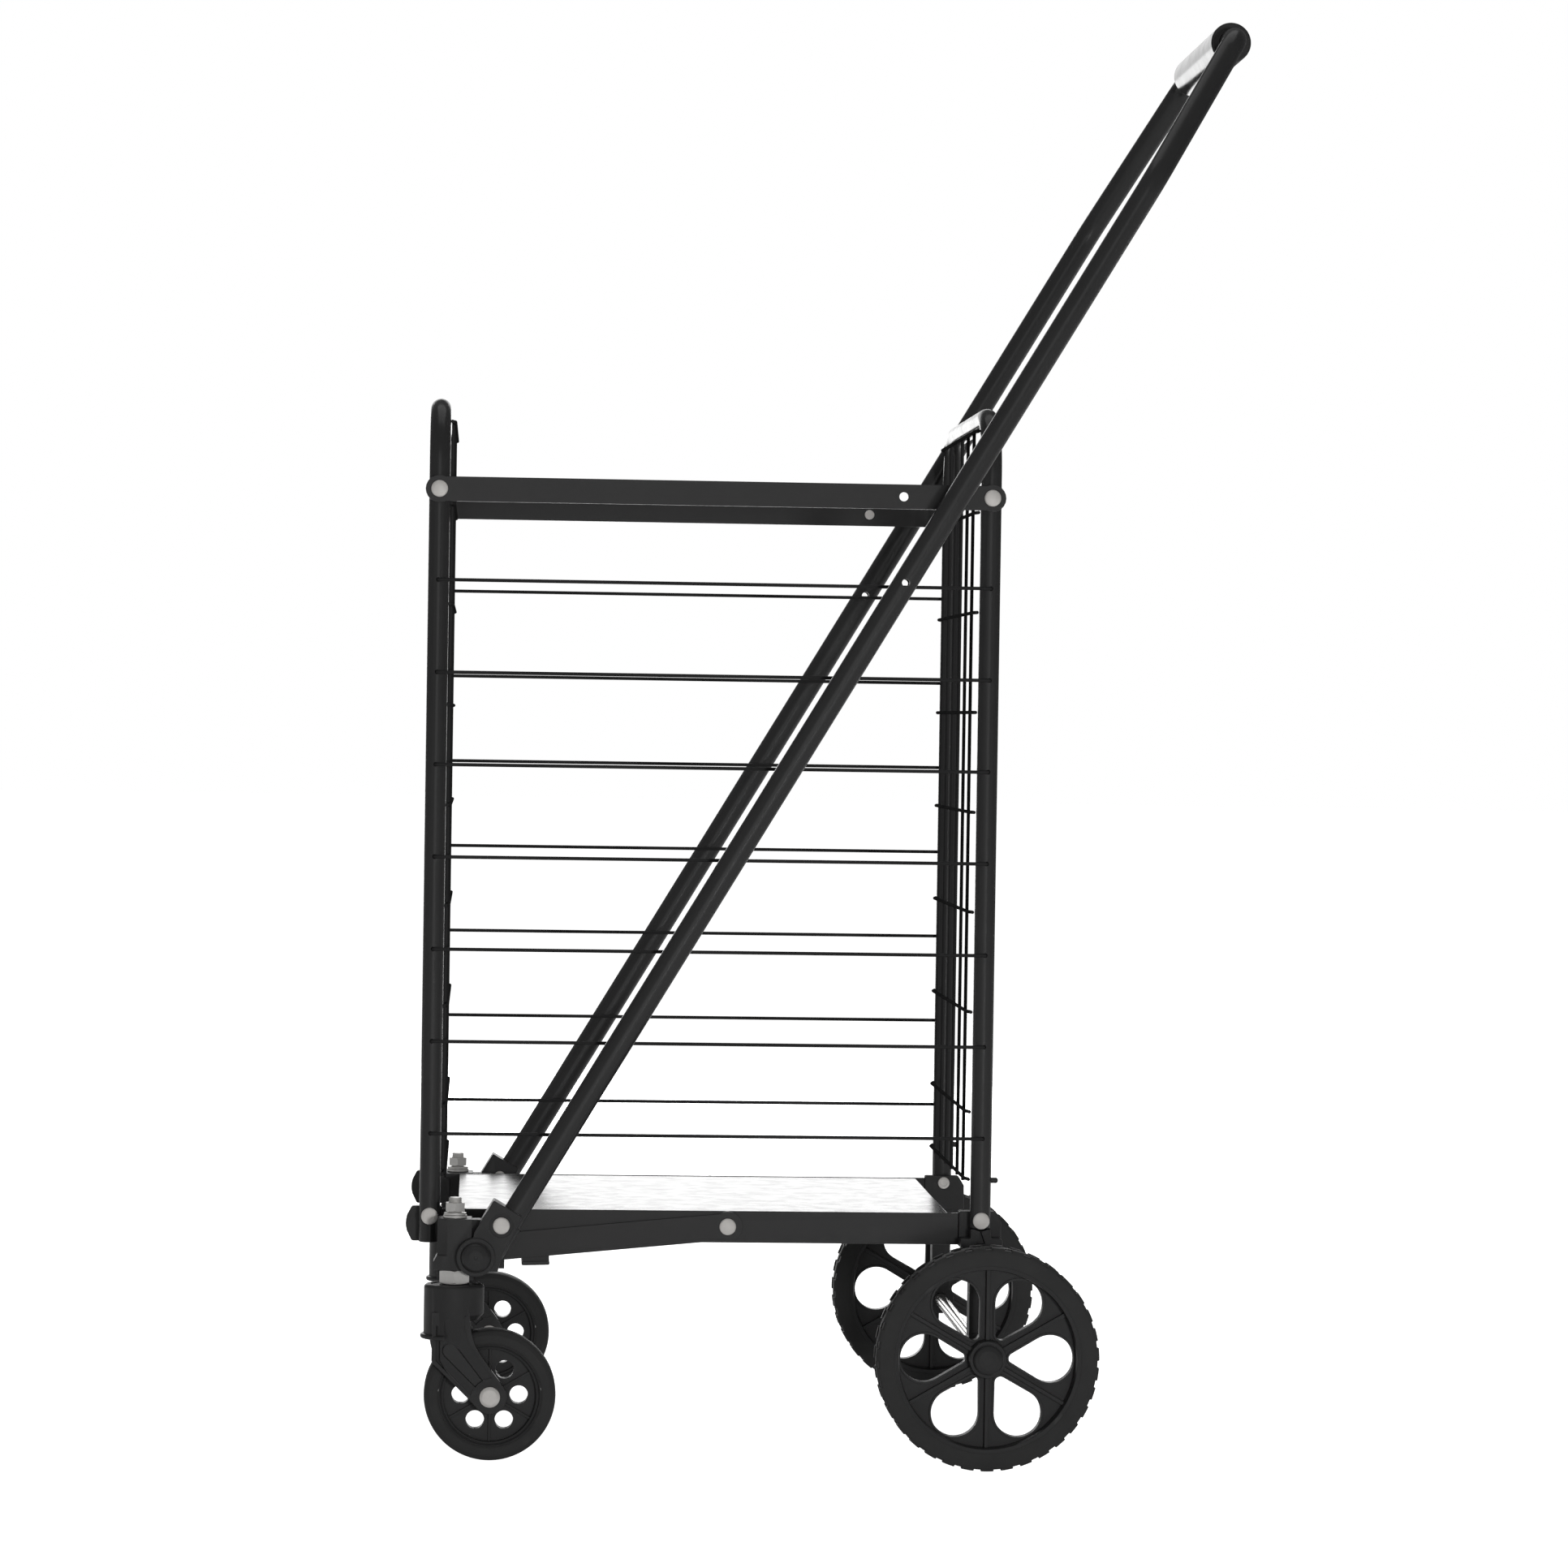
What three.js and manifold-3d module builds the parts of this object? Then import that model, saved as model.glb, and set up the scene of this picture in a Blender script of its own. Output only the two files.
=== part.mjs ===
// Folding luggage cart: a wire basket on two casters and two large rear wheels,
// with a long slanted push handle. The basket is a parallelogram that folds
// against the rear frame, and the handle carries the casters.
//
// Millimetres, +Z up, +X towards the person who pushes, left is -Y.

import * as THREE from 'three';
import { mergeVertices } from 'three/addons/utils/BufferGeometryUtils.js';
import Module from 'manifold-3d';

const wasm = await Module();
wasm.setup();

// ---------------------------------------------------------------- driving dimensions

const GAP = 0.3;                  // clearance between neighbouring pieces
const ORIGIN_X = 92.1;            // middle of the whole length, from the middle of the basket

const BASKET_HALF = 206;          // half the distance between front and rear pivots
const LOW_PIVOT_Z = 177.5;        // floor pivots
const HIGH_PIVOT_Z = 718;         // top rail pivots
const FRAME_Y = 155.5;            // centre of each upright tube
const FRAME_R = 7.75;             // upright tube
const FRAME_BORE_R = 6.5;
const ARCH_Z = 780.1;             // centre of the arch across each frame
const ARCH_BEND = 42;
const UPRIGHT_END_Z = 157.8;

const WIRE_R = 1.3;
const WIRE_Y = 164.9;
const WIRE_COUNT = 7;
const LOW_WIRE_Z = 239;
const WIRE_PITCH = 68.6;
const WIRE_END = 4.5;             // how far each bent end reaches into its upright

const GRID_X = 196.6;             // upright grid wires, from the middle of the basket
const GRID_WIRES = 6;
const GRID_PITCH = 45.4;
const GRID_LOW_Z = 207.3;
const GRID_TOP_Z = 769.5;
const GRID_ROW_LOW_Z = 258;
const GRID_ROW_PITCH = 75;
const GRID_ROWS = 7;
const GRID_WIRE_TOP = 1.3;        // how far the upright wires run past the top row
const GRID_WIRE_FOOT = 4;         // and past the lowest row
const GRID_ROW_SET = 1.5;         // rows lie this much further inside than the upright wires
const GRID_ROW_REACH = 150;       // half length of a row; its ends bend out to the uprights
const GRID_TOP_REACH = 141;       // half length of the top row, which meets the arch's bends

const RAIL_Y = 163.55;            // inner face of the top rails
const RAIL_THICK = 2.5;
const RAIL_HALF_HEIGHT = 9.2;
const RAIL_LOBE_R = 10.3;
const LOCK_X = 139.5;             // storage lock holes in rails and handle
const LOCK_R = 3.4;

const TRAY_Y = 143.1;             // outer face of the floor's side flanges
const TRAY_TOP_Z = 181.2;
const TRAY_LOW_Z = 157.4;
const TRAY_THICK = 2.5;
const PLATE_HALF = 185;           // half the length of the floor plate
const TRAY_FRONT_X = -196.7;
const CAP_FRONT_X = -223.8;
const CAP_TOP_Z = 183.4;
const CHEEK_IN_Y = 137.9;         // inner face of the cheeks inside the flanges

const LINK_MID = [17, 169.7];     // pivot of the folding links on the floor
const LINK_END = [-171.1, 151.5]; // pivot of the folding links on the front corners
const LINK_Y = 143.5;             // inner face of the links
const LINK_THICK = 2.5;
const LINK_R = 11.5;
const LINK_HALF = 10;
const LINK_PIN_R = 4;
const STRAP_AT = 45;              // middle of the cross strap, from the pivot on the front corners
const STRAP_HALF = 10.5;

const HANDLE_Y = 193.1;
const HANDLE_R = 9;
const HANDLE_BORE_R = 7.7;
const HANDLE_TILT = THREE.MathUtils.degToRad(30.95);
const HANDLE_LINE = [-147.7, 174.9];
const HANDLE_END_Z = 158;
const HANDLE_BEND_Z = 955;
const GRIP_Z = 1070.8;
const GRIP_R = 15.3;
const GRIP_HALF = 102;
const HANDLE_CORNER_Y = 131;
const HANDLE_BENDS = [60, 24, 24, 60];
const HANDLE_LOCK_Z = 652.8;      // storage lock hole through each side of the handle
const HANDLE_LOCK_R = 2.9;

const CASTER_Y = 186.2;
const CASTER_X = -186.8;          // swivel axis
const CASTER_TRAIL = 27.3;
const CASTER_R = 48.7;
const CASTER_HALF = 12;
const STEM_R = 5;
const HOUSING_R = 22.2;
const HOUSING_TOP_Z = 130.2;
const LEG_IN = 13.4;              // faces of the fork's legs, from the caster's middle
const LEG_OUT = 19.4;
const CASTER_BOLT_R = 4;

const WHEEL_X = 205.5;
const WHEEL_Y = 221.5;
const WHEEL_R = 82.5;
const WHEEL_HALF = 14;
const TYRE_DEPTH = 14.4;
const AXLE_R = 5;

const RIVET_R = 3;
const RIVET_HEAD_R = 6.2;

// ---------------------------------------------------------------- materials

const look = (color, roughness, metalness = 0) =>
  () => new THREE.MeshStandardMaterial({ color, roughness, metalness });
const blackPaint = look(0x1b1b1c, 0.35);
const blackPlastic = look(0x1d1d1e, 0.5);
const blackRubber = look(0x1a1a1a, 0.8);
const blackFoam = look(0x1c1c1d, 0.45);
const steel = look(0xb4b0aa, 0.35, 0.9);

// ---------------------------------------------------------------- shape helpers

const cart = new THREE.Group();
cart.position.x = -ORIGIN_X;

function add(name, geometry, material) {
  const mesh = new THREE.Mesh(geometry, material());
  mesh.name = name;
  cart.add(mesh);
}

// Calls make(side, sign) for the left side (-Y) and the right side (+Y).
function bothSides(make) {
  make('left', -1);
  make('right', 1);
}

function toSolid(geometry) {
  const bare = new THREE.BufferGeometry();
  bare.setAttribute('position', geometry.getAttribute('position').clone());
  if (geometry.index) bare.setIndex(geometry.index.clone());
  const merged = mergeVertices(bare, 1e-4);
  return new wasm.Manifold(new wasm.Mesh({
    numProp: 3,
    vertProperties: new Float32Array(merged.getAttribute('position').array),
    triVerts: new Uint32Array(merged.index.array),
  }));
}

function toGeometry(solid) {
  const mesh = solid.getMesh();
  const geometry = new THREE.BufferGeometry();
  geometry.setAttribute('position', new THREE.BufferAttribute(mesh.vertProperties, 3));
  geometry.setIndex(new THREE.BufferAttribute(mesh.triVerts, 1));
  return geometry;
}

// Joins the first list of geometries and takes the second list away from them.
function build(parts, cuts = []) {
  let solid = parts.map(toSolid).reduce((a, b) => a.add(b));
  for (const cut of cuts) solid = solid.subtract(toSolid(cut));
  return toGeometry(solid);
}

// A copy on the other side of the XZ plane, with its faces still pointing out.
function mirrorY(geometry) {
  const copy = geometry.index ? geometry.toNonIndexed() : geometry.clone();
  copy.scale(1, -1, 1);
  const p = copy.getAttribute('position');
  const a = new THREE.Vector3();
  const b = new THREE.Vector3();
  for (let i = 0; i < p.count; i += 3) {
    a.fromBufferAttribute(p, i + 1);
    b.fromBufferAttribute(p, i + 2);
    p.setXYZ(i + 1, b.x, b.y, b.z);
    p.setXYZ(i + 2, a.x, a.y, a.z);
  }
  return copy;
}

function outline(points) {
  return new THREE.Shape(points.map(([x, z]) => new THREE.Vector2(x, z)));
}

function hole(x, z, radius) {
  return new THREE.Path().absarc(x, z, radius, 0, Math.PI * 2, true);
}

// A shape drawn in X and Z, made solid between two distances y0 and y1 from the
// middle plane, on the side of the given sign.
function sidePlate(shape, y0, y1, sign, curveSegments = 6) {
  const options = { depth: y1 - y0, bevelEnabled: false, curveSegments };
  const geometry = new THREE.ExtrudeGeometry(shape, options);
  geometry.rotateX(Math.PI / 2);
  return geometry.translate(0, sign > 0 ? y1 : -y0, 0);
}

// A turned piece about an axis along Y: the profile is [radius, distance from the
// middle plane], listed from the middle of the cart outwards.
function turnedY(profile, x, z, sign, segments = 16) {
  const points = profile.map(([r, y]) => new THREE.Vector2(r, y));
  const geometry = new THREE.LatheGeometry(points, segments);
  geometry.translate(x, 0, z);
  return sign > 0 ? geometry : mirrorY(geometry);
}

function turnedZ(profile, x, y, segments = 16) {
  const points = profile.map(([r, z]) => new THREE.Vector2(r, z));
  return new THREE.LatheGeometry(points, segments).rotateX(Math.PI / 2).translate(x, y, 0);
}

function rodY(radius, x, z, y0, y1, segments = 10) {
  const rod = new THREE.CylinderGeometry(radius, radius, y1 - y0, segments);
  return rod.translate(x, (y0 + y1) / 2, z);
}

// A path with one cross-section at each of its points, for bent tube.
class BentPath extends THREE.Curve {
  constructor(points) {
    super();
    this.points = points;
  }

  getPoint(t, target = new THREE.Vector3()) {
    const last = this.points.length - 1;
    const i = Math.min(Math.floor(t * last + 1e-9), last - 1);
    return target.lerpVectors(this.points[i], this.points[i + 1], t * last - i);
  }

  getPointAt(u, target) {
    return this.getPoint(u, target);
  }

  getTangentAt(u, target = new THREE.Vector3()) {
    const last = this.points.length - 1;
    const i = Math.round(u * last);
    const before = this.points[i].clone().sub(this.points[Math.max(i - 1, 0)]).normalize();
    const after = this.points[Math.min(i + 1, last)].clone().sub(this.points[i]).normalize();
    return target.copy(before.add(after)).normalize();
  }
}

// Rounds each inner corner of a polyline to its bend radius.
function bend(corners, radii, steps) {
  const points = [corners[0]];
  for (let i = 1; i < corners.length - 1; i++) {
    const back = corners[i - 1].clone().sub(corners[i]).normalize();
    const on = corners[i + 1].clone().sub(corners[i]).normalize();
    const half = back.angleTo(on) / 2;
    const radius = radii[i - 1];
    const middle = back.clone().add(on).normalize();
    const centre = corners[i].clone().addScaledVector(middle, radius / Math.sin(half));
    const start = corners[i].clone().addScaledVector(back, radius / Math.tan(half)).sub(centre);
    const axis = back.clone().cross(on).normalize();
    const turn = Math.PI - 2 * half;
    for (let k = 0; k <= steps; k++) {
      const arm = start.clone().applyAxisAngle(axis, -turn * k / steps);
      points.push(arm.add(centre));
    }
  }
  points.push(corners[corners.length - 1]);
  return points;
}

function circle(radius, sides) {
  const points = [];
  for (let i = 0; i < sides; i++) {
    const a = (i + 0.5) * 2 * Math.PI / sides;
    points.push(new THREE.Vector2(radius * Math.cos(a), radius * Math.sin(a)));
  }
  return new THREE.Shape(points);
}

function bar(points, radius, sides) {
  const path = new BentPath(points);
  const options = { steps: points.length - 1, extrudePath: path, bevelEnabled: false };
  return new THREE.ExtrudeGeometry(circle(radius, sides), options);
}

// ---------------------------------------------------------------- frames and grids

const wireHeights = Array.from({ length: WIRE_COUNT }, (_, i) => LOW_WIRE_Z + i * WIRE_PITCH);

// One frame is an inverted U of tube, bored across for its pivots and side wires.
function frameTube(x) {
  const corners = [
    [-FRAME_Y, UPRIGHT_END_Z], [-FRAME_Y, ARCH_Z], [FRAME_Y, ARCH_Z], [FRAME_Y, UPRIGHT_END_Z],
  ].map(([y, z]) => new THREE.Vector3(x, y, z));
  const path = bend(corners, [ARCH_BEND, ARCH_BEND], 4);
  const inner = path.map((p) => p.clone());
  inner[0].z -= 1;
  inner[inner.length - 1].z -= 1;
  const cuts = [bar(inner, FRAME_BORE_R, 8)];
  bothSides((side, sign) => {
    const reach = [FRAME_Y - 12, FRAME_Y + 12].map((y) => y * sign).sort((a, b) => a - b);
    for (const z of [LOW_PIVOT_Z, HIGH_PIVOT_Z]) cuts.push(rodY(RIVET_R + GAP, x, z, ...reach, 8));
    const outside = [FRAME_Y, FRAME_Y + 12].map((y) => y * sign).sort((a, b) => a - b);
    for (const z of wireHeights) cuts.push(rodY(WIRE_R + 2.5 * GAP, x, z, ...outside, 4));
  });
  return build([bar(path, FRAME_R, 12)], cuts);
}

// The welded grid that closes the front or the rear of the basket.
function grid(sign) {
  const x = sign * GRID_X;
  const rowX = sign * (GRID_X - GRID_ROW_SET);
  const endX = sign * (BASKET_HALF - FRAME_R - WIRE_R - GAP);
  const row = (z, reach) => {
    const ends = [[endX, reach], [endX, reach - 5], [rowX, reach - 12]];
    const near = ends.map(([u, v]) => new THREE.Vector3(u, -v, z));
    const far = ends.map(([u, v]) => new THREE.Vector3(u, v, z)).reverse();
    return bar([...near, ...far], WIRE_R, 4);
  };
  const parts = [row(GRID_LOW_Z, GRID_ROW_REACH), row(GRID_TOP_Z, GRID_TOP_REACH)];
  for (let i = 0; i < GRID_ROWS; i++) {
    parts.push(row(GRID_ROW_LOW_Z + i * GRID_ROW_PITCH, GRID_ROW_REACH));
  }
  const top = GRID_TOP_Z + GRID_WIRE_TOP;
  const foot = GRID_LOW_Z - GRID_WIRE_FOOT;
  for (let i = 0; i < GRID_WIRES; i++) {
    const rod = new THREE.CylinderGeometry(WIRE_R, WIRE_R, top - foot, 4).rotateX(Math.PI / 2);
    parts.push(rod.translate(x, (i - (GRID_WIRES - 1) / 2) * GRID_PITCH, (top + foot) / 2));
  }
  return build(parts);
}

add('rear_frame_tube', frameTube(BASKET_HALF), blackPaint);
add('rear_grid', grid(1), blackPaint);
add('front_frame_tube', frameTube(-BASKET_HALF), blackPaint);
add('front_grid', grid(-1), blackPaint);

// ---------------------------------------------------------------- rails, side wires, rivets

function railShape() {
  const reach = Math.sqrt(RAIL_LOBE_R ** 2 - RAIL_HALF_HEIGHT ** 2);
  const lobe = Math.asin(RAIL_HALF_HEIGHT / RAIL_LOBE_R);
  const shape = new THREE.Shape();
  shape.moveTo(-BASKET_HALF + reach, HIGH_PIVOT_Z - RAIL_HALF_HEIGHT);
  shape.lineTo(BASKET_HALF - reach, HIGH_PIVOT_Z - RAIL_HALF_HEIGHT);
  shape.absarc(BASKET_HALF, HIGH_PIVOT_Z, RAIL_LOBE_R, Math.PI + lobe, Math.PI - lobe, false);
  shape.lineTo(-BASKET_HALF + reach, HIGH_PIVOT_Z + RAIL_HALF_HEIGHT);
  shape.absarc(-BASKET_HALF, HIGH_PIVOT_Z, RAIL_LOBE_R, lobe, -lobe, false);
  for (const x of [-BASKET_HALF, BASKET_HALF]) {
    shape.holes.push(hole(x, HIGH_PIVOT_Z, RIVET_R + GAP));
  }
  shape.holes.push(hole(LOCK_X, HIGH_PIVOT_Z, LOCK_R));
  return shape;
}

// A rivet through a pivot: flat head inside, domed head outside.
function rivet(x, z, y0, y1, sign) {
  const profile = [
    [0, y0 - 2.2], [4.6, y0 - 2.2], [4.6, y0], [RIVET_R, y0], [RIVET_R, y1],
    [RIVET_HEAD_R, y1], [RIVET_HEAD_R, y1 + 1.4], [0, y1 + 3.1],
  ];
  return turnedY(profile, x, z, sign, 10);
}

function sideWire(z, sign) {
  const end = FRAME_Y + FRAME_R - WIRE_END;
  const corners = [
    [-BASKET_HALF, end], [-BASKET_HALF, WIRE_Y], [BASKET_HALF, WIRE_Y], [BASKET_HALF, end],
  ].map(([x, y]) => new THREE.Vector3(x, y * sign, z));
  return bar(corners, WIRE_R, 6);
}

bothSides((side, sign) => {
  add(`top_rail_${side}`, sidePlate(railShape(), RAIL_Y, RAIL_Y + RAIL_THICK, sign), blackPaint);
  wireHeights.forEach((z, i) => add(`side_wire_${i + 1}_${side}`, sideWire(z, sign), blackPaint));
  const innerFace = FRAME_Y - FRAME_R - GAP;
  const railFace = RAIL_Y + RAIL_THICK + GAP;
  add(`front_top_rivet_${side}`, rivet(-BASKET_HALF, HIGH_PIVOT_Z, innerFace, railFace, sign), steel);
  add(`rear_top_rivet_${side}`, rivet(BASKET_HALF, HIGH_PIVOT_Z, innerFace, railFace, sign), steel);
});

// ---------------------------------------------------------------- floor

function flangeShape() {
  const shape = outline([
    [TRAY_FRONT_X, TRAY_LOW_Z], [BASKET_HALF + 2, TRAY_LOW_Z], [BASKET_HALF + 8, TRAY_LOW_Z + 7],
    [BASKET_HALF + 8, TRAY_TOP_Z - 5], [BASKET_HALF + 3, TRAY_TOP_Z], [TRAY_FRONT_X, TRAY_TOP_Z],
  ]);
  shape.holes.push(hole(BASKET_HALF, LOW_PIVOT_Z, RIVET_R + GAP));
  shape.holes.push(hole(LINK_MID[0], LINK_MID[1], RIVET_R + GAP));
  return shape;
}

function floorTray() {
  const plate = new THREE.BoxGeometry(2 * PLATE_HALF, 2 * TRAY_Y - 2, TRAY_THICK);
  plate.translate(0, 0, TRAY_TOP_Z - TRAY_THICK / 2 - 0.4);
  const flanges = [-1, 1].map((s) => sidePlate(flangeShape(), TRAY_Y - TRAY_THICK, TRAY_Y, s));
  return build([plate, ...flanges]);
}

// Plastic nose on the front end of each floor flange.
function frontCap(sign) {
  const bulge = CAP_TOP_Z - TRAY_LOW_Z;
  const shape = new THREE.Shape();
  shape.moveTo(TRAY_FRONT_X - GAP, TRAY_LOW_Z);
  shape.lineTo(TRAY_FRONT_X - GAP, CAP_TOP_Z);
  shape.lineTo(CAP_FRONT_X + 4, CAP_TOP_Z);
  shape.quadraticCurveTo(CAP_FRONT_X - 3.5, TRAY_LOW_Z + bulge / 2, CAP_FRONT_X + 4, TRAY_LOW_Z);
  shape.holes.push(hole(-BASKET_HALF, LOW_PIVOT_Z, RIVET_R + GAP));
  const tongue = outline([
    [TRAY_FRONT_X - 4, TRAY_LOW_Z + 1.6], [TRAY_FRONT_X + 3.7, TRAY_LOW_Z + 1.6],
    [TRAY_FRONT_X + 3.7, TRAY_TOP_Z - 3.6], [TRAY_FRONT_X - 4, TRAY_TOP_Z - 3.6],
  ]);
  return build([
    sidePlate(shape, CHEEK_IN_Y, FRAME_Y - FRAME_R - GAP, sign),
    sidePlate(tongue, CHEEK_IN_Y, TRAY_Y - TRAY_THICK - GAP, sign),
  ]);
}

add('floor_tray', floorTray(), blackPaint);
bothSides((side, sign) => {
  add(`front_cap_${side}`, frontCap(sign), blackPlastic);
  const tubeFace = FRAME_Y + FRAME_R + GAP;
  add(`front_low_rivet_${side}`,
    rivet(-BASKET_HALF, LOW_PIVOT_Z, CHEEK_IN_Y - GAP, tubeFace, sign), steel);
  add(`rear_low_rivet_${side}`,
    rivet(BASKET_HALF, LOW_PIVOT_Z, CHEEK_IN_Y - GAP, tubeFace, sign), steel);
  add(`link_rivet_${side}`,
    rivet(...LINK_MID, TRAY_Y - TRAY_THICK - GAP, LINK_Y + LINK_THICK + GAP, sign), steel);
});

// ---------------------------------------------------------------- folding links

function linkFrame() {
  const [mx, mz] = LINK_MID;
  const [px, pz] = LINK_END;
  const slope = Math.atan2(mz - pz, mx - px);
  const reach = Math.hypot(mx - px, mz - pz);
  const lobe = Math.asin(LINK_HALF / LINK_R);
  const inset = Math.sqrt(LINK_R ** 2 - LINK_HALF ** 2);
  const shape = new THREE.Shape();
  shape.moveTo(inset, -LINK_HALF);
  shape.lineTo(reach - inset, -LINK_HALF);
  shape.absarc(reach, 0, LINK_R, Math.PI + lobe, Math.PI - lobe, false);
  shape.lineTo(inset, LINK_HALF);
  shape.absarc(0, 0, LINK_R, lobe, -lobe, false);
  shape.holes.push(hole(reach, 0, RIVET_R + GAP), hole(0, 0, LINK_PIN_R + GAP));
  const width = 2 * (LINK_Y + LINK_THICK);
  const strap = new THREE.BoxGeometry(2 * STRAP_HALF, width, 3);
  strap.translate(STRAP_AT, 0, -LINK_HALF - 5);
  const parts = [strap];
  for (const sign of [-1, 1]) {
    parts.push(sidePlate(shape, LINK_Y, LINK_Y + LINK_THICK, sign));
    const tab = new THREE.BoxGeometry(2 * STRAP_HALF, LINK_THICK, 8);
    parts.push(tab.translate(STRAP_AT, sign * (LINK_Y + LINK_THICK / 2), -LINK_HALF - 2.5));
  }
  return build(parts).rotateY(-slope).translate(px, 0, pz);
}

add('link_frame', linkFrame(), blackPaint);

// ---------------------------------------------------------------- handle

// A point of the handle's plane: y across the cart, z its height.
function onHandle(y, z) {
  return new THREE.Vector3(HANDLE_LINE[0] + (z - HANDLE_LINE[1]) * Math.tan(HANDLE_TILT), y, z);
}

function handleTube() {
  const corners = [
    [-HANDLE_Y, HANDLE_END_Z], [-HANDLE_Y, HANDLE_BEND_Z], [-HANDLE_CORNER_Y, GRIP_Z],
    [HANDLE_CORNER_Y, GRIP_Z], [HANDLE_Y, HANDLE_BEND_Z], [HANDLE_Y, HANDLE_END_Z],
  ].map(([y, z]) => onHandle(y, z));
  const path = bend(corners, HANDLE_BENDS, 3);
  const inner = path.map((p) => p.clone());
  inner[0] = onHandle(-HANDLE_Y, HANDLE_END_Z - 1);
  inner[inner.length - 1] = onHandle(HANDLE_Y, HANDLE_END_Z - 1);
  const lock = onHandle(0, HANDLE_LOCK_Z);
  const cuts = [
    bar(inner, HANDLE_BORE_R, 8),
    rodY(HANDLE_LOCK_R, lock.x, lock.z, -HANDLE_Y - 15, HANDLE_Y + 15, 8),
  ];
  return build([bar(path, HANDLE_R, 12)], cuts);
}

function grip() {
  const profile = [
    [HANDLE_R + GAP, -GRIP_HALF], [GRIP_R - 1, -GRIP_HALF], [GRIP_R, -GRIP_HALF + 1.5],
    [GRIP_R, GRIP_HALF - 1.5], [GRIP_R - 1, GRIP_HALF], [HANDLE_R + GAP, GRIP_HALF],
    [HANDLE_R + GAP, -GRIP_HALF],
  ];
  return turnedY(profile, onHandle(0, GRIP_Z).x, GRIP_Z, 1, 20);
}

// Front corner: a block for the caster stem, a slanted sleeve for the handle tube
// and a round boss for the link pivot, moulded in one piece.
function frontCorner(sign) {
  const block = outline([
    [-202.4, 140.9], [-156, 140.9], [-156, 168], [-174.4, 172], [-174.4, 178.8],
    [-199.7, 178.8], [-199.7, 152], [-202.4, 147],
  ]);
  const sleeve = outline([
    [-179, 140.9], [-153, 140.9], [-149.4, 153], [-137.2, 181.4], [-158.4, 193.5],
    [-172.5, 170.2],
  ]);
  const boss = [[0, 169], [9.5, 169], [9.5, 199.5], [14.3, 199.5], [14.3, 205.8], [0, 205.8]];
  const stem = new THREE.CylinderGeometry(STEM_R + 0.4, STEM_R + 0.4, 60, 12).rotateX(Math.PI / 2);
  stem.translate(CASTER_X, sign * CASTER_Y, 160);
  const tubeEnds = [HANDLE_END_Z - 0.4, HANDLE_END_Z + 60].map((z) => onHandle(sign * HANDLE_Y, z));
  return build([
    sidePlate(block, CASTER_Y - 13, CASTER_Y + 13, sign),
    sidePlate(sleeve, HANDLE_Y - 11.2, HANDLE_Y + 11.2, sign),
    turnedY(boss, ...LINK_END, sign, 20),
  ], [
    stem,
    bar(tubeEnds, HANDLE_R + GAP, 14),
    rodY(LINK_PIN_R + GAP, ...LINK_END, sign > 0 ? 160 : -212, sign > 0 ? 212 : -160, 10),
  ]);
}

// Pin of the link pivot, with its head inside the link and its domed cap outside.
function linkPin(sign) {
  const profile = [
    [0, LINK_Y - 3], [5.5, LINK_Y - 3], [5.5, LINK_Y - GAP], [LINK_PIN_R, LINK_Y - GAP],
    [LINK_PIN_R, 206.1],
    [10.7, 206.1], [10.7, 208], [8.6, 210], [0, 211.2],
  ];
  return turnedY(profile, ...LINK_END, sign, 14);
}

add('handle_tube', handleTube(), blackPaint);
add('handle_grip', grip(), blackFoam);
bothSides((side, sign) => {
  add(`front_corner_${side}`, frontCorner(sign), blackPlastic);
  add(`link_pin_${side}`, linkPin(sign), blackPlastic);
});

// ---------------------------------------------------------------- casters

// Threaded stem with the washer and nut above the block and the hexagon below it.
function casterStem(y) {
  const turned = turnedZ([
    [0, 108], [STEM_R, 108], [STEM_R, 179.1], [8.8, 179.1], [8.8, 182.4], [6, 182.4],
    [6, 184.2], [STEM_R, 184.2], [STEM_R, 193], [STEM_R - 1, 194], [0, 194],
  ], CASTER_X, y, 12);
  const hexagon = (radius, z0, z1) => {
    const geometry = new THREE.CylinderGeometry(radius, radius, z1 - z0, 6);
    return geometry.rotateX(Math.PI / 2).rotateZ(Math.PI / 6).translate(CASTER_X, y, (z0 + z1) / 2);
  };
  return build([turned, hexagon(8, 183.8, 190.2), hexagon(12.6, 131.2, 140.5)]);
}

function legShape() {
  const axle = [CASTER_X + CASTER_TRAIL, CASTER_R];
  const shape = outline([
    [-203.2, 112], [-203.2, 69], [-176, 42], [axle[0] - 5, axle[1] - 11],
  ]);
  shape.absarc(axle[0], axle[1], 12.1, -2, 0.35, false);
  shape.lineTo(-158.5, 68);
  shape.lineTo(-170, 92);
  shape.lineTo(-174.5, 112);
  return shape;
}

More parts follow.
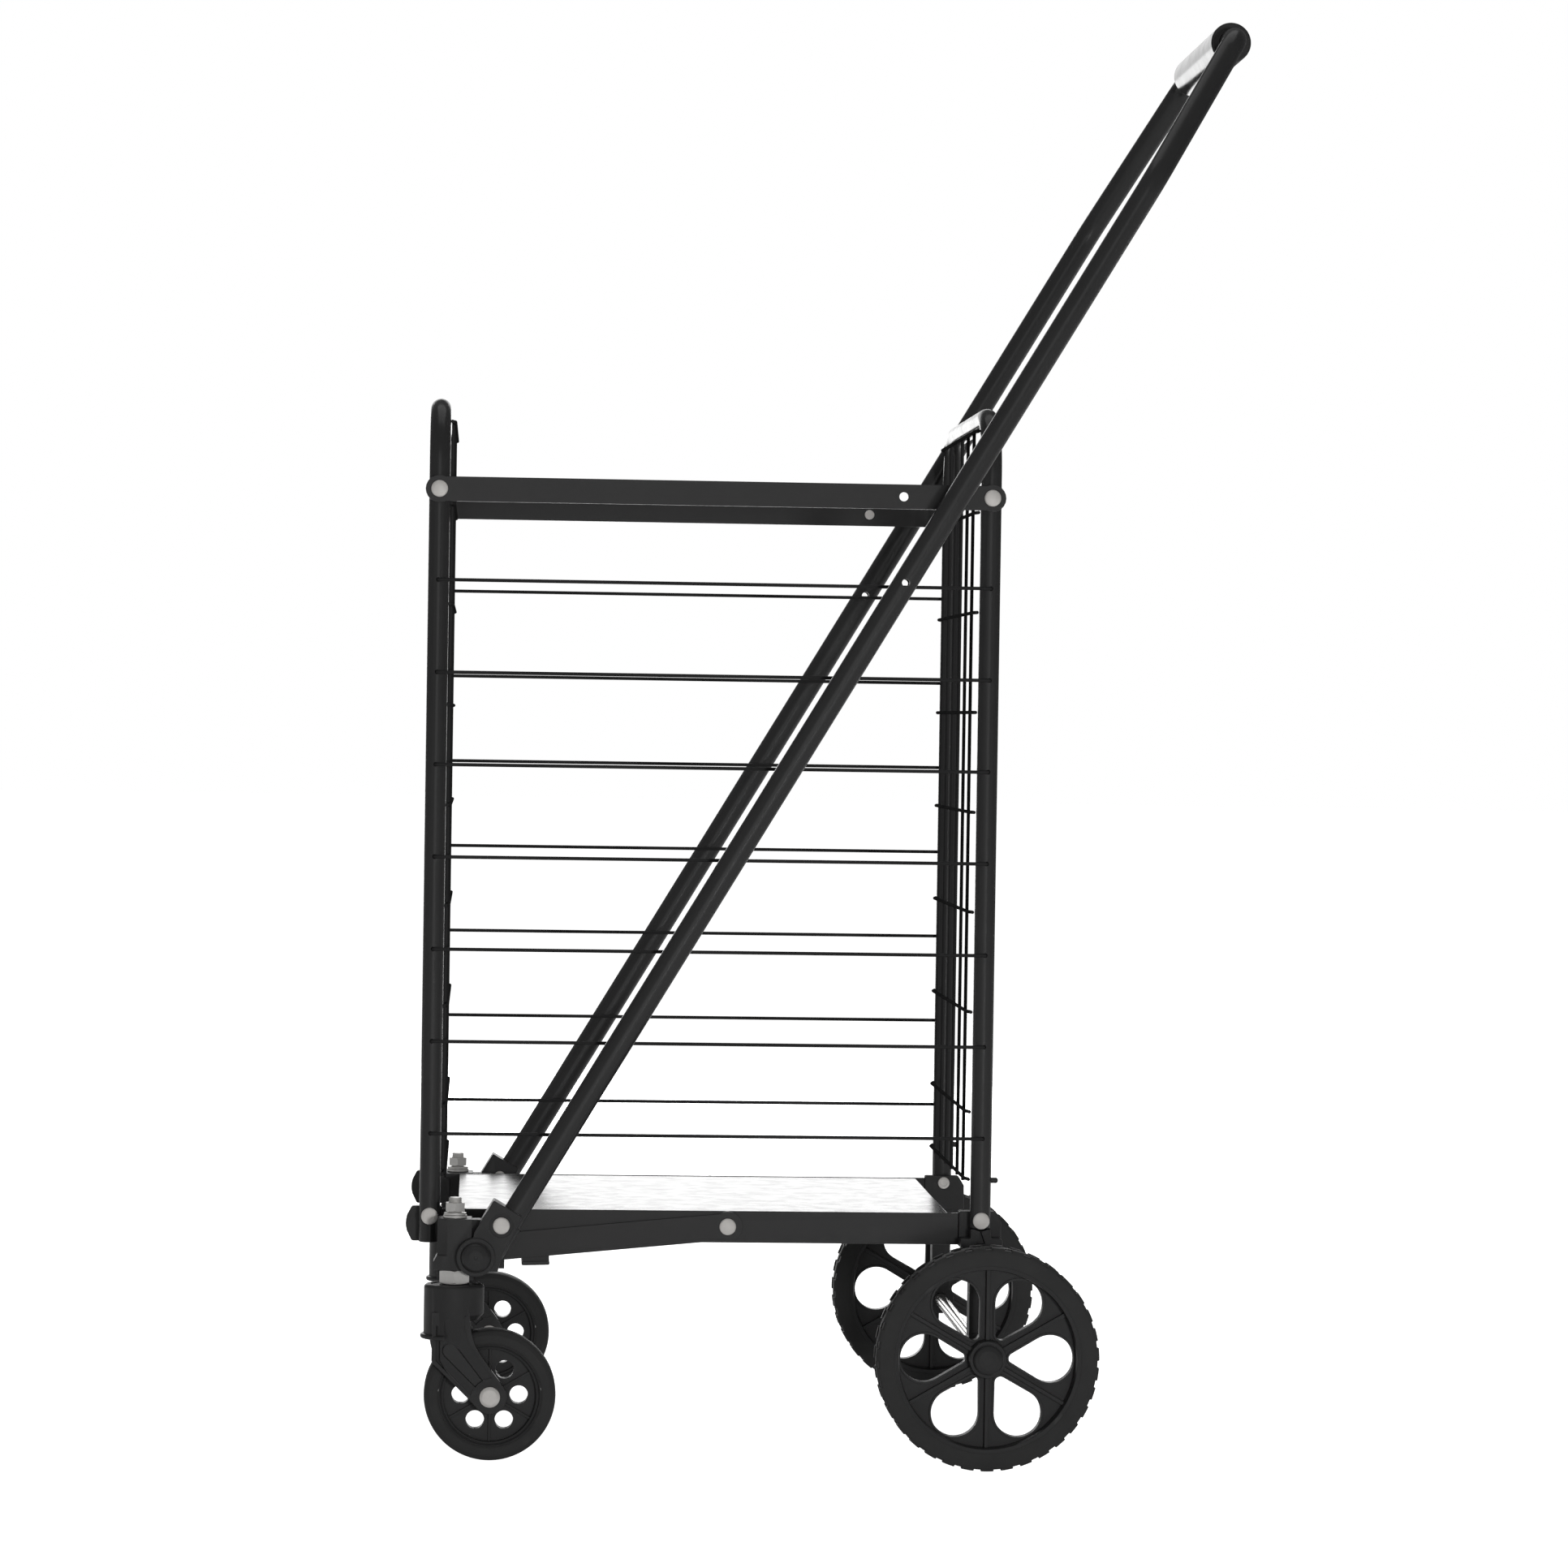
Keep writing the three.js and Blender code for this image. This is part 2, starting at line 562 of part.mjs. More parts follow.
function casterFork(y) {
  const axle = [CASTER_X + CASTER_TRAIL, CASTER_R];
  const housing = turnedZ([
    [0, 102.5], [HOUSING_R, 102.5], [HOUSING_R, HOUSING_TOP_Z - 2], [HOUSING_R - 2, HOUSING_TOP_Z],
    [0, HOUSING_TOP_Z],
  ], CASTER_X, y, 16);
  const skirt = turnedZ([
    [HOUSING_R - 3.5, 91], [HOUSING_R + 2.6, 89.5], [HOUSING_R + 2.6, 92.5], [HOUSING_R, 93.5],
    [HOUSING_R, 103], [HOUSING_R - 3.5, 103], [HOUSING_R - 3.5, 91],
  ], CASTER_X, y, 16);
  const room = new THREE.CylinderGeometry(CASTER_R + 3, CASTER_R + 3, 100, 24);
  room.translate(axle[0], y, axle[1]);
  const bore = new THREE.CylinderGeometry(STEM_R + 0.4, STEM_R + 0.4, 30, 12).rotateX(Math.PI / 2);
  bore.translate(CASTER_X, y, 120.5);
  const collar = build([housing, skirt], [room, bore]);
  const legs = [-LEG_OUT, LEG_IN].map((face) => {
    const leg = sidePlate(legShape(), 0, LEG_OUT - LEG_IN, 1);
    return leg.translate(0, y + face, 0);
  });
  return build([collar, ...legs], [rodY(CASTER_BOLT_R + GAP, ...axle, y - 20, y + 20, 12), bore]);
}

function wheelRing(outer, inner, half, crown, x, y, z, segments) {
  const profile = [
    [inner, -half + 1], [outer - crown, -half], [outer - 1, -half + crown * 1.6],
    [outer, 0], [outer - 1, half - crown * 1.6], [outer - crown, half], [inner, half - 1],
    [inner, -half + 1],
  ];
  return turnedY(profile, x, z, 1, segments).translate(0, y, 0);
}

// A wheel core: rim, web with openings, and hub, in the wheel's own plane.
function core(rimR, bandR, hubR, boreR, half, webHalf, openings, x, y, z, segments) {
  const web = new THREE.Shape().absarc(0, 0, bandR + 1, 0, Math.PI * 2, false);
  web.holes.push(...openings);
  const disc = sidePlate(web, 0, 2 * webHalf, 1, segments / 4).translate(0, -webHalf, 0);
  const band = turnedY([
    [bandR, -half], [rimR, -half], [rimR, half], [bandR, half], [bandR, -half],
  ], 0, 0, 1, segments);
  const hub = rodY(hubR, 0, 0, -half, half, 12);
  return build([disc, band, hub], [rodY(boreR, 0, 0, -half - 1, half + 1, 10)]).translate(x, y, z);
}

function casterOpenings() {
  const ring = 21.2;
  return [0, 1, 2, 3, 4, 5].map((i) => {
    const a = i * Math.PI / 3;
    return hole(ring * Math.cos(a), ring * Math.sin(a), 6.8);
  });
}

bothSides((side, sign) => {
  const y = sign * CASTER_Y;
  const axle = [CASTER_X + CASTER_TRAIL, CASTER_R];
  add(`caster_stem_${side}`, casterStem(y), steel);
  add(`caster_fork_${side}`, casterFork(y), blackPlastic);
  add(`caster_tyre_${side}`,
    wheelRing(CASTER_R, 38.2, CASTER_HALF, 2.2, axle[0], y, axle[1], 28), blackRubber);
  add(`caster_wheel_${side}`,
    core(37.9, 34.5, 10, CASTER_BOLT_R + GAP, 11.5, 2.2, casterOpenings(), axle[0], y, axle[1], 24),
    blackPlastic);
  const inside = -LEG_OUT - GAP;
  const outside = LEG_OUT + GAP;
  const bolt = [
    [0, inside - 2.7], [7, inside - 2.7], [7, inside], [CASTER_BOLT_R, inside],
    [CASTER_BOLT_R, outside], [8, outside], [8, outside + 1.9], [6.5, outside + 3.1], [0, outside + 3.2],
  ];
  const axleBolt = turnedY(bolt, axle[0], axle[1], 1, 12);
  add(`caster_axle_${side}`, (sign > 0 ? axleBolt : mirrorY(axleBolt)).translate(0, y, 0), steel);
});

// ---------------------------------------------------------------- rear wheels

// One teardrop opening that points at the hub, turned to its place.
function teardrop(angle) {
  const tip = 17;
  const far = 46.5;
  const r = 17.6;
  const path = new THREE.Path();
  const at = (radius, across) => [
    radius * Math.cos(angle) - across * Math.sin(angle),
    radius * Math.sin(angle) + across * Math.cos(angle),
  ];
  path.moveTo(...at(tip, -1.5));
  path.lineTo(...at(tip, 1.5));
  path.lineTo(...at(far - 8, r * 0.89));
  path.absarc(...at(far, 0), r, angle + 2.03, angle - 2.03, true);
  path.lineTo(...at(tip, -1.5));
  return path;
}

function rearWheelOpenings() {
  return [0, 1, 2, 3, 4, 5].map((i) => teardrop(i * Math.PI / 3));
}

bothSides((side, sign) => {
  const y = sign * WHEEL_Y;
  const rimR = WHEEL_R - TYRE_DEPTH;
  add(`rear_tyre_${side}`,
    wheelRing(WHEEL_R, rimR + GAP, WHEEL_HALF, 2.5, WHEEL_X, y, WHEEL_R, 36), blackRubber);
  add(`rear_wheel_${side}`, core(rimR, rimR - 2.5, 14, AXLE_R + GAP, WHEEL_HALF - 1, 3,
    rearWheelOpenings(), WHEEL_X, y, WHEEL_R, 32), blackPlastic);
  const cap = [
    [0, WHEEL_Y + 15.5], [10.8, WHEEL_Y + 13.4], [10.8, WHEEL_Y + 16.5],
    [8.5, WHEEL_Y + 18.6], [0, WHEEL_Y + 19.6],
  ];
  add(`rear_hub_cap_${side}`, turnedY(cap, WHEEL_X, WHEEL_R, sign, 14), blackPlastic);
});

// Rear corner: a cheek on each side of the floor flange, joined behind its end, and a leg
// down to the axle.
function rearCorner(sign) {
  const cheek = outline([
    [190.8, 155.9], [222.9, 155.9], [222.6, 175.5], [217.8, 183.4], [190.8, 183.4],
  ]);
  const leg = outline([
    [191.5, 157.6], [197, 140], [197, 76], [201, 70.5], [210, 70.5], [214, 76], [214, 140],
    [222.5, 157.6],
  ]);
  const back = outline([[214.6, 157.6], [222.4, 157.6], [222.4, 174], [214.6, 174]]);
  const cuts = [
    rodY(RIVET_R + GAP, BASKET_HALF, LOW_PIVOT_Z, sign > 0 ? 130 : -170, sign > 0 ? 170 : -130, 8),
    rodY(AXLE_R + GAP, WHEEL_X, WHEEL_R, sign > 0 ? 140 : -170, sign > 0 ? 170 : -140, 12),
  ];
  return build([
    sidePlate(cheek, CHEEK_IN_Y, TRAY_Y - TRAY_THICK - GAP, sign),
    sidePlate(back, CHEEK_IN_Y + GAP, FRAME_Y - FRAME_R - 2 * GAP, sign),
    sidePlate(cheek, TRAY_Y + GAP, FRAME_Y - FRAME_R - GAP, sign),
    sidePlate(leg, TRAY_Y + GAP, FRAME_Y + FRAME_R, sign),
  ], cuts);
}

bothSides((side, sign) => add(`rear_corner_${side}`, rearCorner(sign), blackPlastic));
add('rear_axle', rodY(AXLE_R, WHEEL_X, WHEEL_R, -WHEEL_Y - 13, WHEEL_Y + 13, 16), steel);

export default cart;
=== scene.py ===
"""Folding luggage cart: the visible pieces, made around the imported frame.

Shapes are drawn in millimetres, with x measured from the middle of the basket and z from
the floor, and are placed in metres in the row's frame. A piece that comes in pairs is
drawn for the right side (+Y), and the left one is its mirror image.
"""

import math

import bmesh
import bpy
from mathutils import Matrix, Vector


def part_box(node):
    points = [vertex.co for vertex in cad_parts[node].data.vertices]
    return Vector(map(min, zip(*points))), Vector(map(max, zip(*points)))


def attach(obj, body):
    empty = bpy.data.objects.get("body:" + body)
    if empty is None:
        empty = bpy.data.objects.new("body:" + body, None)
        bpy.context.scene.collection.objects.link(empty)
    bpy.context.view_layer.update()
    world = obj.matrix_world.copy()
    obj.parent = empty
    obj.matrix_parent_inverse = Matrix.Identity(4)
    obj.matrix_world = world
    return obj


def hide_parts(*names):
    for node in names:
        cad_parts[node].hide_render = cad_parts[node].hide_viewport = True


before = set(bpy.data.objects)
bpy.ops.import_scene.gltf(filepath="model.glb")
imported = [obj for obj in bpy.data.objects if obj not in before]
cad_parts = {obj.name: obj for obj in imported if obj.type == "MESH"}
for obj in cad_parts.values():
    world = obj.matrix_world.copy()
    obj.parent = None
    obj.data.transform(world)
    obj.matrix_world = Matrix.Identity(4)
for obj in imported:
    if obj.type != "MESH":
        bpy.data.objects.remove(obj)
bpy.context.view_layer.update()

# ---- places, from the frame

MM = 0.001
X, Y, Z = Vector((1, 0, 0)), Vector((0, 1, 0)), Vector((0, 0, 1))


def cad_middle(node):
    low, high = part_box(node)
    return (low + high) / 2 / MM


BASKET = Vector(((cad_middle("front_frame_tube").x + cad_middle("rear_frame_tube").x) / 2, 0, 0))


def spot(node):
    """The middle of a CAD node in millimetres, with x from the middle of the basket."""
    return cad_middle(node) - BASKET


REAR_X = spot("rear_frame_tube").x
FRONT_X = spot("front_frame_tube").x
LOW_Z = spot("rear_low_rivet_right").z
TOP_Z = spot("rear_top_rivet_right").z
WIRE_NUMBERS = range(1, 8)
WIRE_HEIGHTS = [spot(f"side_wire_{i}_right").z for i in WIRE_NUMBERS]
LINK_MID = spot("link_rivet_right")
LINK_END = spot("link_pin_right")
STEM = spot("caster_stem_right")
CASTER = spot("caster_tyre_right")
WHEEL = spot("rear_tyre_right")
GRIP = spot("handle_grip")
LINK_PIN_AXIS = (LINK_END.x, 0, LINK_END.z)
WHEEL_AXIS = (WHEEL.x, 0, WHEEL.z)

RIVET_R = 3
RIVET_HOLE = RIVET_R + 0.2
LOOSE_HOLE = RIVET_R + 0.3

FRAME_Y = 155.5                  # upright tubes
FRAME_R = 7.75
FRAME_BORE = 6.5
INNER_FACE = FRAME_Y - FRAME_R
OUTER_FACE = FRAME_Y + FRAME_R
ARCH_Z = 780.1
ARCH_BEND = 42
FRONT_END_Z = 157.8
REAR_END_Z = 171.5

WIRE_R = 1.3
WIRE_HOLE = WIRE_R + 0.4
WIRE_Y = 164.9
WIRE_BEND = 2.2
GRID_X = 196.6
GRID_ROW_STEP = 1.5              # rows lie this much further inside than the upright wires
GRID_PITCH = 45.4
GRID_WIRES = 6
GRID_LOW_Z = 207.3
GRID_TOP_Z = 769.5
GRID_REACH = 150                 # half length of a grid row
GRID_TOP_REACH = 141
GRID_ROWS = [258 + 75 * i for i in range(7)]

RAIL_Y = 163.55
RAIL_THICK = 2.5
LOCK_X = 139.5
TRAY_Y = 143.1                   # outer face of the floor's side flanges
SHEET = 2.5
FLANGE_FACE = TRAY_Y - SHEET
CAP_INSIDE = 138.1               # inner face of the moulded pieces at the flange's ends
TRAY_TOP_Z = 181.2
TRAY_LOW_Z = 157.4
PLATE_HALF = 185

HANDLE_Y = 193.1
HANDLE_R = 9
HANDLE_BORE = 7.7
HANDLE_TILT = math.radians(30.95)
HANDLE_LINE = (-147.7, 174.9)    # a point of the handle's centre line, x and z
LOCK_HOLE_Z = 652.8

SLEEVE_IN, SLEEVE_OUT = 181.9, 204.3
SLEEVE_RIVET_X, SLEEVE_RIVET_Z = -152.7, 174.9
BOSS_OUT = 205.8
CORNER_LOW = 140.9
LINK_Y = 143.5
LINK_PIN_HOLE = 4.2

LEG_IN, LEG_OUT = 13.4, 19.4     # faces of a caster fork's legs, from its middle
HOUSING_R = 22.2
HUB_R = 13.2
CASTER_R = 48.7
BOLT_R = 4
BOLT_HOLE = 4.2

WHEEL_R = 82.5
WHEEL_HALF = 14
RIM_R = 68.1
AXLE_R = 5
AXLE_HOLE = 5.3
TREAD_PITCHES = 35
TREAD_DEPTH = 1.3

SAME_POINT_MM = 1e-4
SAME_POINT_M = 2e-7
FLAT_ANGLE = math.radians(0.3)
SHARP_ANGLE = math.radians(34)

# ---- outlines


def fillet(corners, closed=True, steps=5):
    """Points of an outline through corners (a, b, radius), each turned on its radius."""
    points = []
    last = len(corners) - 1
    for i, corner in enumerate(corners):
        here = Vector(corner[:2])
        radius = corner[2] if len(corner) > 2 else 0
        if radius == 0 or (not closed and i in (0, last)):
            points.append(here)
            continue
        back = (Vector(corners[i - 1][:2]) - here).normalized()
        on = (Vector(corners[(i + 1) % len(corners)][:2]) - here).normalized()
        half = back.angle(on) / 2
        middle = here + (back + on).normalized() * (radius / math.sin(half))
        arm = radius / math.tan(half)
        start, stop = here + back * arm - middle, here + on * arm - middle
        first = math.atan2(start.y, start.x)
        turn = (math.atan2(stop.y, stop.x) - first + math.pi) % math.tau - math.pi
        points += arc(middle, radius, first, first + turn, steps)
    return points


def arc(middle, radius, start, stop, steps):
    """Points of an arc between two angles in radians, both ends included."""
    return [
        Vector((middle[0] + radius * math.cos(a), middle[1] + radius * math.sin(a)))
        for a in (start + (stop - start) * k / steps for k in range(steps + 1))
    ]


def circle(middle, radius, steps):
    return arc(middle, radius, 0, math.tau, steps)[:-1]


def strip(start, stop, half_height, lobe):
    """A flat bar between two pivots, with a rounder lobe about each of them."""
    steps = 14
    along = (Vector(stop) - Vector(start)).normalized()
    turn = math.atan2(along.y, along.x)
    open_angle = math.asin(half_height / lobe)
    far = arc(stop, lobe, turn - math.pi + open_angle, turn + math.pi - open_angle, steps)
    near = arc(start, lobe, turn + open_angle, turn + math.tau - open_angle, steps)
    return far + near


# ---- solids


def linked(name, data):
    """A new object in the scene."""
    obj = bpy.data.objects.new(name, data)
    bpy.context.scene.collection.objects.link(obj)
    return obj


def solid(points, faces):
    """A new object from points and faces, with its faces pointing out."""
    mesh = bpy.data.meshes.new("solid")
    mesh.from_pydata([tuple(p) for p in points], [], faces)
    tidy(mesh)
    return linked("solid", mesh)


def tidy(mesh):
    """Joins points that coincide and turns the faces to point out."""
    edit = bmesh.new()
    edit.from_mesh(mesh)
    bmesh.ops.remove_doubles(edit, verts=edit.verts, dist=SAME_POINT_MM)
    bmesh.ops.recalc_face_normals(edit, faces=edit.faces)
    edit.to_mesh(mesh)
    edit.free()


def loops(rings, closed):
    """Faces between rings of point numbers; a ring of one point is a pole."""
    faces = []
    pairs = list(zip(rings, rings[1:]))
    if closed:
        pairs.append((rings[-1], rings[0]))
    for a, b in pairs:
        for k in range(max(len(a), len(b))):
            corners = [a[k % len(a)], a[(k + 1) % len(a)], b[(k + 1) % len(b)], b[k % len(b)]]
            faces.append(list(dict.fromkeys(corners)))
    return faces


def turned(profile, middle, axis="Y", steps=64):
    """A turned solid: profile lists (radius, distance along the axis, fillet radius)."""
    outline = fillet(profile, closed=profile[0][0] > 0, steps=4)
    points, rings = [], []
    for radius, along in outline:
        ring = []
        for k in range(steps if radius > 1e-6 else 1):
            a, b = (radius * f(math.tau * k / steps) for f in (math.cos, math.sin))
            local = Vector((a, along, b)) if axis == "Y" else Vector((a, b, along))
            ring.append(len(points))
            points.append(Vector(middle) + local)
        rings.append(ring)
    return solid(points, loops(rings, closed=profile[0][0] > 0))


def plate(outline, y0, y1, bevel=0.4, holes=(), axis="Y"):
    """A flat piece drawn in x and z (or in x and y for axis Z) with rounded edges."""
    curve = bpy.data.curves.new("outline", "CURVE")
    curve.dimensions = "2D"
    curve.fill_mode = "BOTH"
    curve.extrude = (y1 - y0) / 2 - bevel
    curve.bevel_depth = bevel
    curve.bevel_resolution = 1
    curve.offset = -bevel
    for points in (outline, *holes):
        spline = curve.splines.new("POLY")
        spline.points.add(len(points) - 1)
        for target, point in zip(spline.points, points):
            target.co = (point[0], point[1], 0, 1)
        spline.use_cyclic_u = True
    drawn = linked("outline", curve)
    obj = linked("plate", baked(drawn))
    bpy.data.objects.remove(drawn)
    middle = (y0 + y1) / 2
    for vertex in obj.data.vertices:
        x, z, y = vertex.co
        vertex.co = (x, y + middle, z) if axis == "Y" else (x, z, y + middle)
    tidy(obj.data)
    return obj


def bend(corners, radii, steps=12):
    """A path through 3D corners, each inner corner turned on its bend radius."""
    points = [Vector(corners[0])]
    for i, radius in enumerate(radii, start=1):
        here = Vector(corners[i])
        back = (Vector(corners[i - 1]) - here).normalized()
        on = (Vector(corners[i + 1]) - here).normalized()
        half = back.angle(on) / 2
        middle = here + (back + on).normalized() * (radius / math.sin(half))
        start = here + back * (radius / math.tan(half)) - middle
        turn = Matrix.Rotation(-(math.pi - 2 * half) / steps, 3, back.cross(on))
        for _ in range(steps + 1):
            points.append(middle + start)
            start = turn @ start
    points.append(Vector(corners[-1]))
    return points


def pipe(path, radius, flat, bore=0, sides=36, edge=0.4):
    """A round bar, or a tube with a bore, along a path in the plane across `flat`."""
    before = [path[0]] + path[:-1]
    after = path[1:] + [path[-1]]
    tangents = []
    for a, here, b in zip(before, path, after):
        steps = [s.normalized() for s in (here - a, b - here) if s.length > 1e-9]
        tangents.append(sum(steps, Vector()).normalized())
    first, last = tangents[0], tangents[-1]
    stations = [(path[0], first, radius - edge), (path[0] + first * edge, first, radius)]
    stations += [(p, t, radius) for p, t in zip(path[1:-1], tangents[1:-1])]
    stations += [(path[-1] - last * edge, last, radius), (path[-1], last, radius - edge)]
    if bore:
        stations += [(p, t, bore) for p, t in zip(reversed(path), reversed(tangents))]
    points, rings = [], []
    for middle, tangent, r in stations:
        side = tangent.cross(flat).normalized()
        ring = []
        for k in range(sides):
            a = math.tau * k / sides
            ring.append(len(points))
            points.append(middle + side * (r * math.cos(a)) + flat * (r * math.sin(a)))
        rings.append(ring)
    faces = loops(rings, closed=bool(bore))
    if not bore:
        faces += [rings[0], rings[-1]]
    return solid(points, faces)


def rod(start, stop, radius, edge=0.3, sides=32):
    """A straight round bar along one of the main axes."""
    start, stop = Vector(start), Vector(stop)
    flat = Z if abs((stop - start).normalized().z) < 0.5 else X
    return pipe([start, stop], radius, flat, sides=sides, edge=edge)


def baked(obj):
    """The object's mesh with its modifiers applied."""
    graph = bpy.context.evaluated_depsgraph_get()
    return bpy.data.meshes.new_from_object(obj.evaluated_get(graph), depsgraph=graph)


def combined(base, tools, operation):
    """The base joined with, cut by or limited to its tools, which are used up."""
    for tool in tools:
        change = base.modifiers.new(operation, "BOOLEAN")
        change.operation = operation
        change.solver = "MANIFOLD"
        change.object = tool
    mesh = baked(base)
    base.modifiers.clear()
    base.data = mesh
    for tool in tools:
        bpy.data.objects.remove(tool)
    return base


def joined(base, *tools):
    return combined(base, tools, "UNION")


def cut(base, *tools):
    return combined(base, tools, "DIFFERENCE")


def shared(base, *tools):
    return combined(base, tools, "INTERSECT")


def moved(obj, matrix):
    """Moves the mesh itself, and keeps its faces pointing out in a mirror."""
    obj.data.transform(matrix)
    if matrix.determinant() < 0:
        obj.data.flip_normals()
    return obj


def mirrored(obj):
    return moved(obj, Matrix.Scale(-1, 4, Y))


# ---- finished pieces


def piece(obj, name, body, slot, material, *nodes):
    """Places a finished solid in the frame, shades it and lets it ride on its body."""
    obj.name = obj.data.name = name
    mesh = obj.data
    mesh.transform(Matrix.Scale(MM, 4) @ Matrix.Translation(BASKET))
    edit = bmesh.new()
    edit.from_mesh(mesh)
    bmesh.ops.remove_doubles(edit, verts=edit.verts, dist=SAME_POINT_M)
    bmesh.ops.dissolve_limit(
        edit, angle_limit=FLAT_ANGLE, verts=edit.verts, edges=edit.edges
    )
    edit.to_mesh(mesh)
    edit.free()
    mesh.shade_smooth()
    mesh.set_sharp_from_angle(angle=SHARP_ANGLE)
    even = obj.modifiers.new("even", "WEIGHTED_NORMAL")
    even.keep_sharp = True
    obj.data = baked(obj)
    obj.modifiers.clear()
    obj.data.name = name
    obj.data.materials.clear()
    obj.data.materials.append(material)
    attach(obj, body)
    if nodes:
        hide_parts(*nodes)


def pair(make, name, body, slot, material, *nodes):
    """A left and a right piece. {side} in a name becomes left or right."""
    for side in ("left", "right"):
        obj = make() if side == "right" else mirrored(make())
        names = [text.format(side=side) for text in (name, body, *nodes)]
        piece(obj, names[0], names[1], slot, material, *names[2:])


# ---- materials


def surface(name, colour, roughness, metallic=0.0, specular=0.5):
    """A principled material, with its nodes, links, shader and texture coordinates."""
    material = bpy.data.materials.new(name)
    material.use_nodes = True
    nodes, links = material.node_tree.nodes, material.node_tree.links
    shader = nodes["Principled BSDF"]
    shader.inputs["Base Color"].default_value = (*colour, 1)
    shader.inputs["Roughness"].default_value = roughness
    shader.inputs["Metallic"].default_value = metallic
    shader.inputs["Specular IOR Level"].default_value = specular
    place = nodes.new("ShaderNodeTexCoord")
    return material, nodes, links, shader, place


def noise(nodes, links, place, scale, detail, roughness=0.5):
    texture = nodes.new("ShaderNodeTexNoise")
    texture.inputs["Scale"].default_value = scale
    texture.inputs["Detail"].default_value = detail
    texture.inputs["Roughness"].default_value = roughness
    links.new(place.outputs["Object"], texture.inputs["Vector"])
    return texture.outputs["Fac"]


def spread(nodes, links, value, low, high, low_in=0.3, high_in=0.7):
    """The value's range low_in to high_in, spread over low to high."""
    node = nodes.new("ShaderNodeMapRange")
    node.inputs["From Min"].default_value = low_in
    node.inputs["From Max"].default_value = high_in
    node.inputs["To Min"].default_value = low
    node.inputs["To Max"].default_value = high
    links.new(value, node.inputs["Value"])
    return node.outputs["Result"]


def tint(nodes, links, value, dark, light):
    """A colour between dark and light, by a value's range 0.3 to 0.7."""
    ramp = nodes.new("ShaderNodeValToRGB")
    ramp.color_ramp.elements[0].position = 0.3
    ramp.color_ramp.elements[1].position = 0.7
    ramp.color_ramp.elements[0].color = (*dark, 1)
    ramp.color_ramp.elements[1].color = (*light, 1)
    links.new(value, ramp.inputs["Fac"])
    return ramp.outputs["Color"]


def bump(nodes, links, shader, height, distance):
    node = nodes.new("ShaderNodeBump")
    node.inputs["Distance"].default_value = distance
    links.new(height, node.inputs["Height"])
    links.new(node.outputs["Normal"], shader.inputs["Normal"])


def worn(nodes, links, amount):
    """The amount on convex edges, where handling rubs the finish, and 0 elsewhere."""
    geometry = nodes.new("ShaderNodeNewGeometry")
    return spread(nodes, links, geometry.outputs["Pointiness"], 0, amount, 0.52, 0.62)


def mixed(nodes, links, factor, first, second):
    node = nodes.new("ShaderNodeMix")
    node.data_type = "RGBA"
    links.new(factor, node.inputs["Factor"])
    links.new(first, node.inputs["A"])
    node.inputs["B"].default_value = (*second, 1)
    return node.outputs["Result"]


def black_surface(name, dark, light, low_rough, high_rough, grain, depth, edge, specular=0.5):
    """A black finish: a grain of the given size, and edges rubbed slightly paler."""
    material, nodes, links, shader, place = surface(name, light, low_rough, specular=specular)
    broad = noise(nodes, links, place, 22, 4, 0.6)
    fine = noise(nodes, links, place, 1 / grain, 3, 0.6)
    colour = tint(nodes, links, broad, dark, light)
    colour = mixed(nodes, links, worn(nodes, links, 0.5), colour, edge)
    links.new(colour, shader.inputs["Base Color"])
    smears = noise(nodes, links, place, 60, 5, 0.65)
    links.new(spread(nodes, links, smears, low_rough, high_rough), shader.inputs["Roughness"])
    bump(nodes, links, shader, fine, depth)
    return material


def steel_surface(name, colour, low_rough, high_rough, metallic):
    material, nodes, links, shader, place = surface(name, colour, low_rough, metallic=metallic)
    broad = noise(nodes, links, place, 180, 4, 0.6)
    fine = noise(nodes, links, place, 2600, 2, 0.5)
    dark = tuple(c * 0.9 for c in colour)
    links.new(tint(nodes, links, broad, dark, colour), shader.inputs["Base Color"])
    links.new(spread(nodes, links, broad, low_rough, high_rough), shader.inputs["Roughness"])
    bump(nodes, links, shader, fine, 0.000001)
    return material


# The darkest black here is used only on the wires, as painted shade.
WIRE_SHADE_BLACK = (0.0140, 0.0140, 0.0142)
SOOT = (0.0150, 0.0150, 0.0152)
PITCH_BLACK = (0.0165, 0.0165, 0.0167)
BLACK = (0.0180, 0.0180, 0.0182)
RUBBED = (0.03, 0.03, 0.03)
PAINT_DEPTH = 0.0000012
WIRE_DEPTH = 0.000004

PAINT = black_surface(
    "black_paint", PITCH_BLACK, BLACK, 0.20, 0.27,
    grain=0.0008, depth=PAINT_DEPTH, edge=RUBBED, specular=0.4,
)
PLATE_PAINT = black_surface(
    "floor_paint", PITCH_BLACK, BLACK, 0.20, 0.27,
    grain=0.0006, depth=PAINT_DEPTH, edge=RUBBED, specular=0.4,
)
# Wire and grid finishes: rougher, with almost no reflection, and a darker black than the frame's
# paint; the darker colour is painted shade that keeps the thin wires dark.
SHADED_WIRE_PAINT = black_surface(
    "wire_paint", WIRE_SHADE_BLACK, PITCH_BLACK, 0.45, 0.6,
    grain=0.0006, depth=WIRE_DEPTH, edge=RUBBED, specular=0.05,
)
SHADED_GRID_PAINT = black_surface(
    "grid_paint", WIRE_SHADE_BLACK, PITCH_BLACK, 0.5, 0.65,
    grain=0.0006, depth=WIRE_DEPTH, edge=RUBBED, specular=0,
)
PLASTIC = black_surface(
    "moulded_plastic", SOOT, BLACK, 0.34, 0.46,
    grain=0.0004, depth=0.000006, edge=(0.035, 0.035, 0.035), specular=0.4,
)
RUBBER = black_surface(
    "tyre_rubber", (0.0160, 0.0160, 0.0161), (0.0195, 0.0195, 0.0194), 0.50, 0.64,
    grain=0.0006, depth=0.000012, edge=(0.03, 0.029, 0.028), specular=0.4,
)
